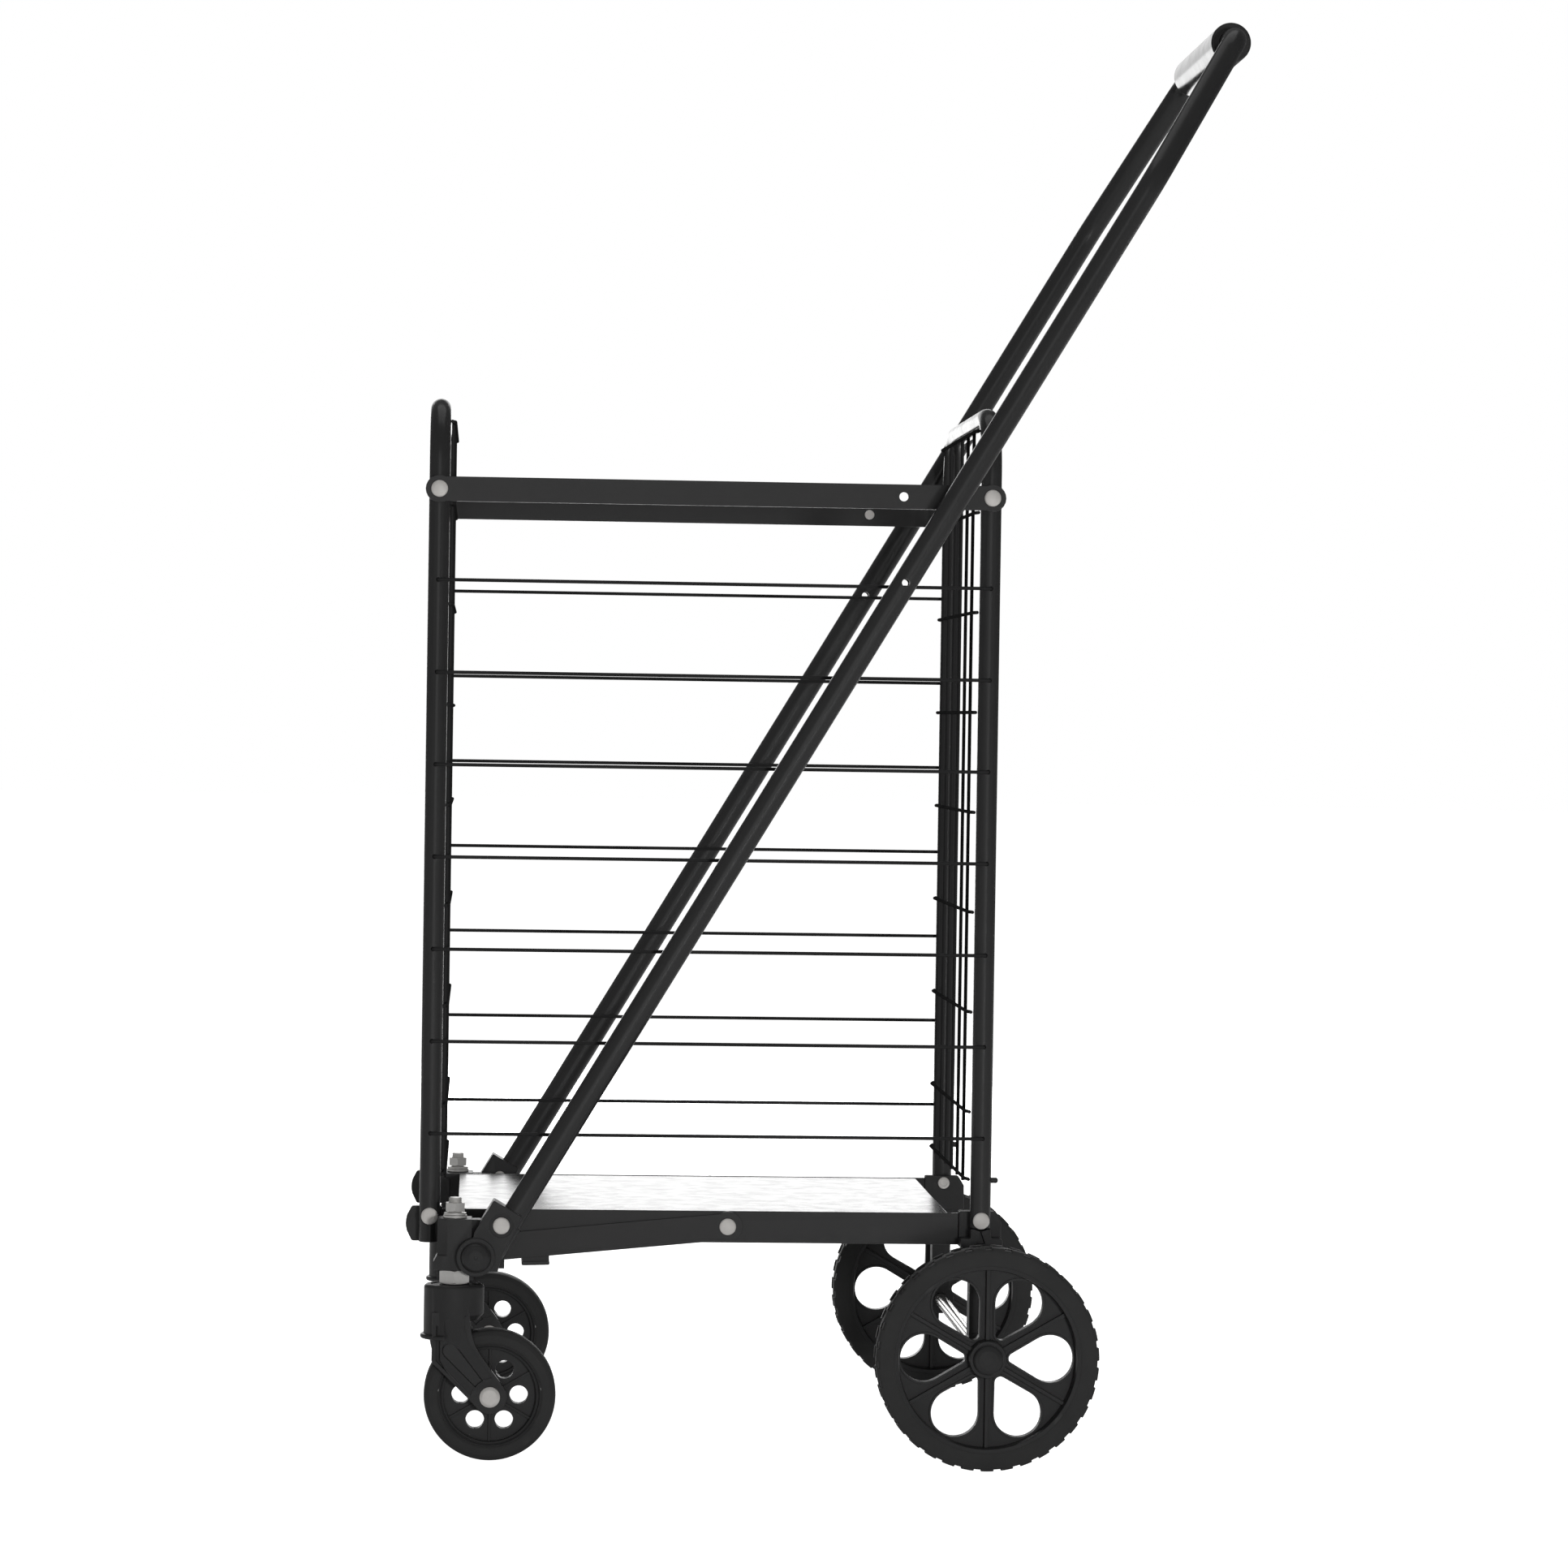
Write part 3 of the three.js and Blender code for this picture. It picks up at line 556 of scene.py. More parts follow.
FOAM = black_surface(
    "grip_foam", SOOT, BLACK, 0.16, 0.24,
    grain=0.0005, depth=0.000003, edge=RUBBED,
)
STEEL = steel_surface("bright_steel", (0.68, 0.66, 0.635), 0.36, 0.48, metallic=0.6)
BOLT_STEEL = steel_surface("bolt_steel", (0.70, 0.69, 0.67), 0.30, 0.40, metallic=0.7)
POLISHED = steel_surface("axle_steel", (0.72, 0.71, 0.69), 0.14, 0.22, metallic=0.9)

# ---- frames and grids

BORE_REACH = 12                  # past the middle of an upright, to each side


def frame_tube(x, end_z):
    """One inverted U of tube, bored across for its pivots and side wires."""
    corners = [
        (x, -FRAME_Y, end_z), (x, -FRAME_Y, ARCH_Z), (x, FRAME_Y, ARCH_Z), (x, FRAME_Y, end_z),
    ]
    tube = pipe(bend(corners, [ARCH_BEND, ARCH_BEND], 16), FRAME_R, X, bore=FRAME_BORE, sides=44)
    bores = []
    for sign in (-1, 1):
        inside, outside = sign * (FRAME_Y - BORE_REACH), sign * (FRAME_Y + BORE_REACH)
        for z in (LOW_Z, TOP_Z):
            bores.append(rod((x, inside, z), (x, outside, z), RIVET_HOLE))
        for z in WIRE_HEIGHTS:
            bores.append(rod((x, sign * FRAME_Y, z), (x, outside, z), WIRE_HOLE, sides=16))
    return cut(tube, *bores)


def grid(sign):
    """A welded grid: rows across, upright wires outside them, a weld at each crossing."""
    row_x = sign * (GRID_X - GRID_ROW_STEP)
    wire_x = sign * GRID_X
    weld_x = sign * (REAR_X - FRAME_R - 1.0)
    parts = []
    rows = [GRID_LOW_Z, *GRID_ROWS, GRID_TOP_Z]
    for z in rows:
        reach = GRID_TOP_REACH if z == GRID_TOP_Z else GRID_REACH
        corners = [
            (weld_x, -reach, z), (weld_x, -reach + 4, z), (row_x, -reach + 11, z),
            (row_x, reach - 11, z), (weld_x, reach - 4, z), (weld_x, reach, z),
        ]
        parts.append(pipe(bend(corners, [5, 5, 5, 5], 3), WIRE_R, Z, sides=12, edge=0.3))
    for i in range(GRID_WIRES):
        y = (i - (GRID_WIRES - 1) / 2) * GRID_PITCH
        ends = [(wire_x, y, GRID_LOW_Z - 4), (wire_x, y, GRID_TOP_Z + 1.2)]
        parts.append(rod(*ends, WIRE_R, sides=12))
        for z in rows:
            parts.append(weld(Vector(((row_x + wire_x) / 2, y, z))))
    return joined(*parts)


def weld(middle):
    """The small bead where two wires are spot-welded."""
    profile = [(0, -1.5), (0.8, -1.3, 0.4), (1.35, 0, 0.6), (0.8, 1.3, 0.4), (0, 1.5)]
    return turned(profile, middle, "Y", steps=10)


piece(frame_tube(REAR_X, REAR_END_Z), "rear_frame_hoop", "rear_frame", "black_paint", PAINT,
      "rear_frame_tube")
piece(grid(1), "rear_wire_grid", "rear_frame", "black_paint", SHADED_GRID_PAINT, "rear_grid")
piece(frame_tube(FRONT_X, FRONT_END_Z), "front_frame_hoop", "front_frame", "black_paint", PAINT,
      "front_frame_tube")
piece(grid(-1), "front_wire_grid", "front_frame", "black_paint", SHADED_GRID_PAINT, "front_grid")

# ---- rails, side wires, rivets

RAIL_HALF_HEIGHT = 9.2
RAIL_LOBE = 10.3
LOCK_HOLE_R = 3.4


def top_rail():
    outline = strip((FRONT_X, TOP_Z), (REAR_X, TOP_Z), RAIL_HALF_HEIGHT, RAIL_LOBE)
    holes = [circle((x, TOP_Z), RIVET_HOLE, 24) for x in (FRONT_X, REAR_X)]
    holes.append(circle((LOCK_X, TOP_Z), LOCK_HOLE_R, 28))
    return plate(outline, RAIL_Y, RAIL_Y + RAIL_THICK, 0.35, holes)


def side_wire(z):
    """A straight wire whose bent ends are hooked into the uprights."""
    end = OUTER_FACE - 4.5
    corners = [(FRONT_X, end, z), (FRONT_X, WIRE_Y, z), (REAR_X, WIRE_Y, z), (REAR_X, end, z)]
    return pipe(bend(corners, [WIRE_BEND, WIRE_BEND], 6), WIRE_R, Z, sides=16, edge=0.3)


def rivet(x, z, inside, outside):
    """A rivet: a flattened end inside and a low dome outside, with a crisp rim."""
    head = 6.2
    top = outside + 1.5
    return turned([
        (0, inside - 2.0), (2.2, inside - 2.0, 0.5), (3.0, inside - 2.4, 0.4),
        (4.6, inside - 1.9, 0.6), (4.8, inside, 0.2), (RIVET_R, inside), (RIVET_R, outside),
        (head, outside, 0.25), (head, top, 0.5), (head * 0.86, top + 0.55, 1.0),
        (head * 0.6, top + 0.85, 4), (head * 0.3, top + 1.0, 6), (0, top + 1.05),
    ], (x, 0, z), steps=48)


pair(top_rail, "{side}_top_rail", "top_rails", "black_paint", PAINT, "top_rail_{side}")
for number, height in zip(WIRE_NUMBERS, WIRE_HEIGHTS):
    pair(lambda: side_wire(height), "{side}_side_wire_" + str(number), f"side_wires_{number}",
         "black_paint", SHADED_WIRE_PAINT, f"side_wire_{number}_" + "{side}")
RIVETS = [
    ("front_top_rivet", FRONT_X, TOP_Z, INNER_FACE, RAIL_Y + RAIL_THICK, "front_frame"),
    ("rear_top_rivet", REAR_X, TOP_Z, INNER_FACE, RAIL_Y + RAIL_THICK, "rear_frame"),
    ("front_low_rivet", FRONT_X, LOW_Z, CAP_INSIDE, OUTER_FACE, "floor"),
    ("rear_low_rivet", REAR_X, LOW_Z, CAP_INSIDE, OUTER_FACE, "rear_frame"),
    ("link_rivet", LINK_MID.x, LINK_MID.z, FLANGE_FACE, 146.0, "floor"),
]
for node, x, z, inside, outside, body in RIVETS:
    pair(lambda: rivet(x, z, inside, outside), node + "_{side}_head", body, "bright_steel", STEEL,
         node + "_{side}")

# ---- floor and links


FLANGE_FRONT = -196.7


def floor_tray():
    """Sheet-steel plate with a flange down each side."""
    plate_outline = fillet([
        (-PLATE_HALF, -TRAY_Y + 0.6, 1), (PLATE_HALF - 2, -TRAY_Y + 0.6, 1),
        (PLATE_HALF - 2, TRAY_Y - 0.6, 1), (-PLATE_HALF, TRAY_Y - 0.6, 1),
    ])
    parts = [plate(plate_outline, TRAY_TOP_Z - SHEET - 0.4, TRAY_TOP_Z - 0.4, 0.5, axis="Z")]
    flange = fillet([
        (FLANGE_FRONT, TRAY_LOW_Z, 1), (REAR_X + 2, TRAY_LOW_Z, 3),
        (REAR_X + 8, TRAY_LOW_Z + 7, 3), (REAR_X + 8, TRAY_TOP_Z - 5, 2),
        (REAR_X + 3, TRAY_TOP_Z, 2), (FLANGE_FRONT, TRAY_TOP_Z, 1),
    ])
    pivots = [(REAR_X, LOW_Z), (LINK_MID.x, LINK_MID.z)]
    holes = [circle(pivot, RIVET_HOLE, 24) for pivot in pivots]
    for sign in (-1, 1):
        faces = sorted((sign * FLANGE_FACE, sign * TRAY_Y))
        parts.append(plate(flange, *faces, 0.7, holes))
    return joined(*parts)


def front_cap():
    """Moulded nose that closes the front end of a flange and carries the upright's pivot."""
    left, top = -223.8, 183.4
    nose = [
        (left + 0.9, top - 7), (left + 0.25, top - 10), (left, 170.4), (left + 0.25, 168),
        (left + 0.9, 165),
    ]
    outline = fillet([
        (-197, TRAY_LOW_Z, 1.2), (-197, top, 1.2), (left + 4.6, top, 2), *nose,
        (left + 4.6, TRAY_LOW_Z, 2),
    ])
    hole = circle((FRONT_X, LOW_Z), LOOSE_HOLE, 28)
    cap = plate(outline, CAP_INSIDE, INNER_FACE - 0.3, 0.9, [hole])
    tongue = plate(fillet([
        (-200, 159, 0.6), (-193, 159, 1.5), (-193, 177.5, 1.5), (-200, 177.5, 0.6),
    ]), CAP_INSIDE, FLANGE_FACE - 0.2, 0.5)
    return joined(cap, tongue)


def link_frame():
    """Two flat bars joined by a strap under the floor."""
    middle, end = (LINK_MID.x, LINK_MID.z), (LINK_END.x, LINK_END.z)
    holes = [circle(middle, RIVET_HOLE, 24), circle(end, LINK_PIN_HOLE, 24)]
    parts = []
    for sign in (-1, 1):
        faces = sorted((sign * LINK_Y, sign * (LINK_Y + SHEET)))
        parts.append(plate(strip(end, middle, 10, 11.5), *faces, 0.35, holes))
        inner = sorted((sign * (LINK_Y - SHEET), sign * (LINK_Y + 0.4)))
        parts.append(plate(fillet([
            (-136.4, 140, 0.6), (-116.4, 140, 0.6), (-116.4, 152.5, 2), (-136.4, 151, 2),
        ]), *inner, 0.3))
    lip = fillet([
        (-137, 139.3, 1.2), (-116, 139.9, 1.2), (-116, 142.7, 1.2), (-137, 142.1, 1.2),
    ])
    parts.append(plate(lip, -LINK_Y - SHEET, LINK_Y + SHEET, 0.4))
    return joined(*parts)


piece(floor_tray(), "floor_plate_and_flanges", "floor", "black_paint", PLATE_PAINT, "floor_tray")
pair(front_cap, "front_nose_{side}", "floor", "moulded_plastic", PLASTIC, "front_cap_{side}")
piece(link_frame(), "folding_links", "links", "black_paint", PAINT, "link_frame")

# ---- handle


def on_handle(y, z):
    return Vector((HANDLE_LINE[0] + (z - HANDLE_LINE[1]) * math.tan(HANDLE_TILT), y, z))


HANDLE_FLAT = Vector((math.cos(HANDLE_TILT), 0, -math.sin(HANDLE_TILT)))


def handle_tube():
    """One U of tube whose sides draw together above the knees, with two lock holes."""
    low, knee, shoulder = 158, 955, 131
    corners = [on_handle(*corner) for corner in (
        (-HANDLE_Y, low), (-HANDLE_Y, knee), (-shoulder, GRIP.z),
        (shoulder, GRIP.z), (HANDLE_Y, knee), (HANDLE_Y, low),
    )]
    path = bend(corners, [60, 24, 24, 60], 10)
    tube = pipe(path, HANDLE_R, HANDLE_FLAT, bore=HANDLE_BORE, sides=48)
    lock = on_handle(0, LOCK_HOLE_Z)
    holes = []
    for sign in (-1, 1):
        inside, outside = sign * (HANDLE_Y - 15), sign * (HANDLE_Y + 15)
        holes.append(rod((lock.x, inside, lock.z), (lock.x, outside, lock.z), 2.9))
    return cut(tube, *holes)


def grip():
    """A foam sleeve with softly rounded ends."""
    half, outer, bore = 102, 15.3, HANDLE_R + 0.3
    return turned([
        (bore, -half), (outer, -half, 1.6), (outer + 0.15, -half / 2), (outer + 0.15, half / 2),
        (outer, half, 1.6), (bore, half),
    ], (GRIP.x, 0, GRIP.z), steps=96)


piece(handle_tube(), "push_handle", "handle", "black_paint", PAINT, "handle_tube")
piece(grip(), "push_handle_grip", "handle", "grip_foam", FOAM, "handle_grip")

# ---- front corners

BLOCK_IN, BLOCK_OUT = 173.4, 199.2


def hollow(a, b, radius):
    """A straight bar along the handle's line, between heights a and b."""
    return pipe([on_handle(HANDLE_Y, a), on_handle(HANDLE_Y, b)], radius, Y, sides=48)


def front_corner():
    """Block for the caster stem, slanted sleeve for the handle, boss for the link pin."""
    stem_x = STEM.x
    front = stem_x - 12.9
    block_outline = [
        (front, BLOCK_IN), (stem_x + 12.4, BLOCK_IN), (stem_x + 12.4, BLOCK_OUT),
        (front + 7.4, BLOCK_OUT), (front, 194),
    ]
    block = plate(block_outline, CORNER_LOW, 178.8, 0.6, axis="Z")
    toe, heel = front - 2.7, stem_x + 30
    foot_outline = [
        (toe, BLOCK_IN), (heel, BLOCK_IN), (heel, BLOCK_OUT), (front + 4.6, BLOCK_OUT), (toe, 194),
    ]
    foot = plate(foot_outline, CORNER_LOW, 152, 0.6, axis="Z")
    slope = plate([
        (toe, 146.5), (front, 152), (front, 160), (heel, 160), (heel, CORNER_LOW - 1),
        (toe, CORNER_LOW - 1),
    ], 170, 202, 0.3)
    foot = shared(foot, slope)
    web = plate([
        (stem_x + 10, 142), (-150, 142), (-150, 168), (-160, 178), (stem_x + 10, 178),
    ], 178, 192, 0.5)
    sleeve = plate(fillet([
        (-179, CORNER_LOW), (-155, CORNER_LOW), (-151.6, 153, 4), (-137.2, 181.4, 0.8),
        (-158.4, 193.5, 0.8), (-172.5, 170.2),
    ]), SLEEVE_IN, SLEEVE_OUT, 0.7)
    above = [
        (-200, CORNER_LOW + 0.4), (-130, CORNER_LOW + 0.4), (-130, 190), (-200, 190),
    ]
    stub = shared(hollow(130, 176, 10), plate(above, 170, 215, 0.2))
    neck = turned([(0, 169), (9.5, 169, 0.6), (9.5, 199.5), (0, 199.5)], LINK_PIN_AXIS)
    ring = turned([
        (0, 196), (14.3, 196), (14.3, BOSS_OUT, 0.8), (0, BOSS_OUT),
    ], LINK_PIN_AXIS, steps=72)
    body = joined(block, foot, web, sleeve, stub, neck, ring)
    seat = turned([
        (0, SLEEVE_OUT - 0.7), (8.9, SLEEVE_OUT - 0.7, 0.2), (8.9, SLEEVE_OUT + 2),
        (0, SLEEVE_OUT + 2),
    ], (SLEEVE_RIVET_X, 0, SLEEVE_RIVET_Z), steps=48)
    groove = turned([
        (10.0, BOSS_OUT - 1.6), (11.4, BOSS_OUT - 1.6), (11.4, BOSS_OUT + 2), (10.0, BOSS_OUT + 2),
    ], LINK_PIN_AXIS, steps=72)
    stem_hole = rod((stem_x, STEM.y, 130), (stem_x, STEM.y, 190), 5.3)
    handle_hole = hollow(157.6, 230, HANDLE_R + 0.3)
    pin_hole = rod((LINK_END.x, 160, LINK_END.z), (LINK_END.x, 212, LINK_END.z), 4.3)
    ends = [(SLEEVE_RIVET_X, y, SLEEVE_RIVET_Z) for y in (175, 212)]
    return cut(body, seat, groove, stem_hole, handle_hole, pin_hole, rod(*ends, RIVET_HOLE))


def link_pin():
    """Pin with a small head inside the link and a domed cap outside the boss."""
    return turned([
        (0, LINK_Y - 3), (5.5, LINK_Y - 3, 0.6), (5.5, LINK_Y - 0.3, 0.2), (4, LINK_Y - 0.3),
        (4, 204.8), (9.9, 204.8), (9.9, 205.9, 0.1), (10.6, 206.4, 0.3), (10.6, 207.6, 1.0),
        (9.2, 209.9, 2.5), (5, 211.1, 6), (1.4, 211.25), (1.1, 210.95, 0.15), (0, 210.95),
    ], LINK_PIN_AXIS, steps=72)


def sleeve_rivet():
    return rivet(SLEEVE_RIVET_X, SLEEVE_RIVET_Z, SLEEVE_IN, SLEEVE_OUT - 0.7)


pair(front_corner, "handle_foot_{side}", "handle", "moulded_plastic", PLASTIC,
     "front_corner_{side}")
pair(link_pin, "link_pin_{side}_cap", "handle", "moulded_plastic", PLASTIC, "link_pin_{side}")
pair(sleeve_rivet, "sleeve_rivet_{side}", "handle", "bright_steel", STEEL)

# ---- casters


def hexagon(middle, radius, z0, z1, chamfer):
    """A hexagonal nut with turned chamfers, standing on its flat faces."""
    outline = arc(middle, radius, math.pi / 6, math.tau + math.pi / 6, 6)[:-1]
    prism = plate(outline, z0, z1, 0.1, axis="Z")
    rise = chamfer * 0.6
    barrel = turned([
        (0, z0), (radius - chamfer, z0), (radius, z0 + rise), (radius, z1 - rise),
        (radius - chamfer, z1), (0, z1),
    ], (middle[0], middle[1], 0), "Z")
    return shared(prism, barrel)


def caster_stem():
    """Threaded stem with its washer and nut on top and the large hexagon below."""
    middle = (STEM.x, STEM.y, 0)
    thread, pitch = [], 1.25
    z = 183.0
    while z < 192.5:
        thread += [(5.0, z), (4.35, z + pitch / 2)]
        z += pitch
    parts = [turned([
        (0, 108), (5, 108), (5, 179), (8.8, 179, 0.3), (8.8, 181.0, 0.3), (5.0, 181.0), *thread,
        (4.9, 193.1), (4.0, 194), (0, 194),
    ], middle, "Z", steps=40)]
    washer = [(5, 181.1), (8.3, 181.3, 0.2), (8.3, 182.7, 0.2), (5, 182.9)]
    parts.append(turned(washer, middle, "Z"))
    parts.append(hexagon((STEM.x, STEM.y), 8, 183.8, 190.2, 1.0))
    parts.append(hexagon((STEM.x, STEM.y), 12.6, 131.2, 140.5, 1.2))
    parts.append(turned([(0, 130.4), (9.8, 130.4, 0.3), (9.8, 131.6), (0, 131.6)], middle, "Z"))
    return joined(*parts)


def from_axle(points):
    """Outline corners given from the caster's axle, as corners in the cart."""
    return [(CASTER.x + p[0], CASTER.z + p[1], *p[2:]) for p in points]


def boss_arc(start, stop, radius, steps=10):
    """An arc about the caster's axle, between two angles in degrees."""
    return arc((CASTER.x, CASTER.z), radius, math.radians(start), math.radians(stop), steps)


def pad(grow):
    """Outline of the raised pad on a fork leg, grown by a margin."""
    middle = (CASTER.x - 29.6, CASTER.z + 33.9)
    top = arc(middle, 5.2 + grow, math.radians(38), math.radians(222), 14)
    foot = boss_arc(116 - 3 * grow, 144 + 3 * grow, HUB_R + 0.5 - grow, 6)
    return top + list(reversed(foot))


def leg():
    """One fork leg: a plate with a raised rim, a deep groove and a raised pad."""
    outline = fillet(from_axle([
        (-43, 62), (-43.2, 25.5, 4), (-16.5, -0.6, 5),
    ]), closed=False) + boss_arc(215, 372, 12.6) + fillet(from_axle([
        (11.9, 4.6), (-1.1, 22.7, 20), (-7.1, 31.2, 30), (-11.4, 38.6, 20), (-14.5, 49.4, 30),
        (-15.6, 62),
    ]), closed=False)
    body = plate(outline, LEG_IN, LEG_OUT, 0.45)
    field = fillet(from_axle([
        (-19.5, 70), (-19.3, 53, 20), (-16.3, 40.8, 20), (-7.5, 27, 30), (1.4, 14.4, 1.6),
    ]), closed=False) + boss_arc(94, 165, HUB_R + 0.3) + fillet(from_axle([
        (-14.1, 1.0, 1.0), (-36.9, 24.8, 3), (-37.2, 70),
    ]), closed=False)
    groove = from_axle([
        (-40.1, 52.4), (-40.1, 26.6), (-29.6, 15.9), (-33.4, 20.6), (-36.9, 27), (-37.0, 52.4),
    ])
    past = LEG_OUT + 2
    sunk = ((field, 0.8), (groove, 4.2), (pad(0.9), 2.4))
    body = cut(body, *(plate(shape, LEG_OUT - depth, past, 0.1) for shape, depth in sunk))
    return joined(body, plate(pad(0), LEG_OUT - 3, LEG_OUT - 0.1, 0.3))


def caster_fork():
    """Cylindrical housing with a lip, and the two legs that hold the wheel."""
    middle = (STEM.x, STEM.y, 0)
    near, far = STEM.y - 30, STEM.y + 30
    housing = turned([
        (0, 102.5), (12, 102.5), (HOUSING_R - 4, 104, 1), (HOUSING_R, 108.5, 1),
        (HOUSING_R, 130.2, 2.6), (17.5, 130.2, 0.3), (17.0, 129.4, 0.3), (11.5, 129.4, 0.3),
        (11.2, 129.9, 0.2), (0, 129.9),
    ], middle, "Z", steps=96)
    lip = HOUSING_R + 2.4
    skirt = turned([
        (18.6, 90.4), (lip, 90.2, 1.2), (lip, 93.2, 1.2), (HOUSING_R, 93.8, 0.8),
        (HOUSING_R, 112), (18.6, 112),
    ], middle, "Z", steps=96)
    blend = turned([
        (0, 84), (LEG_OUT - 0.5, 84), (LEG_OUT, 90, 6), (HOUSING_R, 106, 8), (HOUSING_R, 112),
        (0, 112),
    ], middle, "Z", steps=96)
    band = from_axle([(-37, 30), (-19.2, 30), (-19.4, 66), (-37.2, 66)])
    blend = shared(blend, plate(band, near, far, 0.1))
    front_half = from_axle([(-60, 20), (-34, 20), (-34, 70), (-60, 70)])
    skirt = shared(skirt, plate(front_half, near, far, 0.1))
    legs = []
    for sign in (-1, 1):
        side = leg() if sign > 0 else mirrored(leg())
        legs.append(moved(side, Matrix.Translation((0, STEM.y, 0))))
    fork = joined(housing, skirt, blend, *legs)
    room_r, room_half = CASTER_R + 3, LEG_IN - 0.05
    room = turned([
        (0, -room_half), (room_r, -room_half), (room_r, room_half), (0, room_half),
    ], CASTER)
    stem_hole = rod((STEM.x, STEM.y, 95), (STEM.x, STEM.y, 140), 5.2)
    bolt_hole = rod((CASTER.x, near, CASTER.z), (CASTER.x, far, CASTER.z), BOLT_HOLE)
    return cut(fork, room, stem_hole, bolt_hole)


def caster_axle():
    """Bolt with a round head outside and a formed end inside."""
    return turned([
        (0, -22.4), (5.4, -22.2, 0.8), (7, -21.4, 0.6), (7, -LEG_OUT, 0.2), (BOLT_R, -LEG_OUT),
        (BOLT_R, LEG_OUT), (7.6, LEG_OUT, 0.2), (7.6, LEG_OUT + 1.6, 0.7),
        (5.6, LEG_OUT + 2.9, 2.5), (0, LEG_OUT + 3.2),
    ], CASTER, steps=56)


def caster_tyre():
    side = 12
    half = [
        (38.0, 11.2), (39.2, side - 0.2, 0.4), (44.5, side, 2),
        (CASTER_R - 0.9, side - 1.6, 2.4), (CASTER_R, 5, 8),
    ]
    near = [(r, -y, *rest) for r, y, *rest in half]
    far = [(r, y, *rest) for r, y, *rest in reversed(half)]
    return turned(near + far, CASTER, steps=120)


def caster_wheel():
    """Moulded wheel: a double rim, a web with six holes, six thin ribs and a hub."""
    band = [
        (34.2, 9.8, 0.5), (35.4, 10.3, 0.3), (36.1, 9.6, 0.2), (36.9, 10.9, 0.3), (37.9, 11.3, 0.3),
    ]
    near = [(r, -y, f) for r, y, f in reversed(band)]
    rim = turned(near + band, CASTER, steps=120)
    holes_at, hole_r = 21.4, 6.8
    holes = [
        circle((CASTER.x + holes_at * math.cos(a), CASTER.z + holes_at * math.sin(a)), hole_r, 36)
        for a in (math.pi / 3 * i for i in range(6))
    ]
    web = plate(circle((CASTER.x, CASTER.z), 35.2, 96), CASTER.y - 5, CASTER.y + 5, 0.5, holes)
    ribs = []
    for i in range(3):
        rib = plate([(-35, -0.9), (35, -0.9), (35, 0.9), (-35, 0.9)], -7, 7, 0.35)
        turn = Matrix.Rotation(math.radians(30 + 60 * i), 4, Y)
        ribs.append(moved(rib, Matrix.Translation(CASTER) @ turn))
    hub = turned([(0, -11.4), (10, -11.4, 0.8), (10, 11.4, 0.8), (0, 11.4)], CASTER)
    wheel = joined(rim, web, *ribs, hub)
    return cut(wheel, rod(CASTER - 20 * Y, CASTER + 20 * Y, BOLT_HOLE))


pair(caster_stem, "stem_bolt_{side}", "handle", "bright_steel", BOLT_STEEL, "caster_stem_{side}")
pair(caster_fork, "swivel_fork_{side}", "caster_{side}", "moulded_plastic", PLASTIC,
     "caster_fork_{side}")
pair(caster_axle, "swivel_bolt_{side}", "caster_{side}", "bright_steel", STEEL,
     "caster_axle_{side}")
pair(caster_tyre, "small_tyre_{side}", "caster_wheel_{side}", "tyre_rubber", RUBBER,
     "caster_tyre_{side}")
pair(caster_wheel, "small_wheel_{side}", "caster_wheel_{side}", "moulded_plastic", PLASTIC,
     "caster_wheel_{side}")

# ---- rear wheels


def tread_depth(part, row):
    """Depth below a block's top at a part of a pitch, for row 0 or 1, or None for no tread.

    Row 1, in the middle, is half a pitch out of step.
    """
    if row is None:
        return 0
    part = (part + 0.5 * row) % 1
    return TREAD_DEPTH if 0.61 < part < 0.99 else 0


def rear_tyre():
    """Tyre with three staggered rows of low blocks and a small step on each sidewall."""
    half = WHEEL_HALF
    sidewall = [
        (RIM_R + 0.3, half - 1.2), (RIM_R + 0.9, half - 0.6), (RIM_R + 2, half - 0.35),
        (72.6, half - 0.1), (76, half), (78.6, half - 0.15), (79.9, half - 0.5),
    ]
    crown = [
        (81.2, 13.1, 0), (82.1, 12.3, 0), (WHEEL_R, 10.5, 0), (WHEEL_R, 5.6, 0),
        (80.9, 5.2, None), (80.9, 4.6, None), (81.9, 4.2, 1), (81.9, 0, 1),
    ]
    side = [(r, y, None) for r, y in sidewall] + crown
    profile = [(r, -y, row) for r, y, row in side[:-1]]
    profile += [(r, y, row) for r, y, row in reversed(side)]
    parts = (0, 0.10, 0.12, 0.30, 0.48, 0.50, 0.60, 0.62, 0.80, 0.98)   # of a pitch
    points, rings = [], []
    for radius, y, row in profile:
        ring = []
        for pitch in range(TREAD_PITCHES):
            for part in parts:
                a = math.tau * (pitch + part) / TREAD_PITCHES
                r = radius - tread_depth(part, row)
                ring.append(len(points))
                points.append(WHEEL + Vector((r * math.cos(a), y, r * math.sin(a))))
        rings.append(ring)
    return solid(points, loops(rings, closed=True))


def teardrop(grow):
    """An opening between two spokes, narrow towards the hub, grown by a margin."""
    tip_at, tip_r, far, far_r = 20.3, 4.2 + grow, 46.5, 17.6 + grow
    turn = math.pi / 2 + math.asin((far_r - tip_r) / (far - tip_at))
    rounded = arc((far, 0), far_r, -turn, turn, 32)
    return rounded + arc((tip_at, 0), tip_r, turn, math.tau - turn, 12)


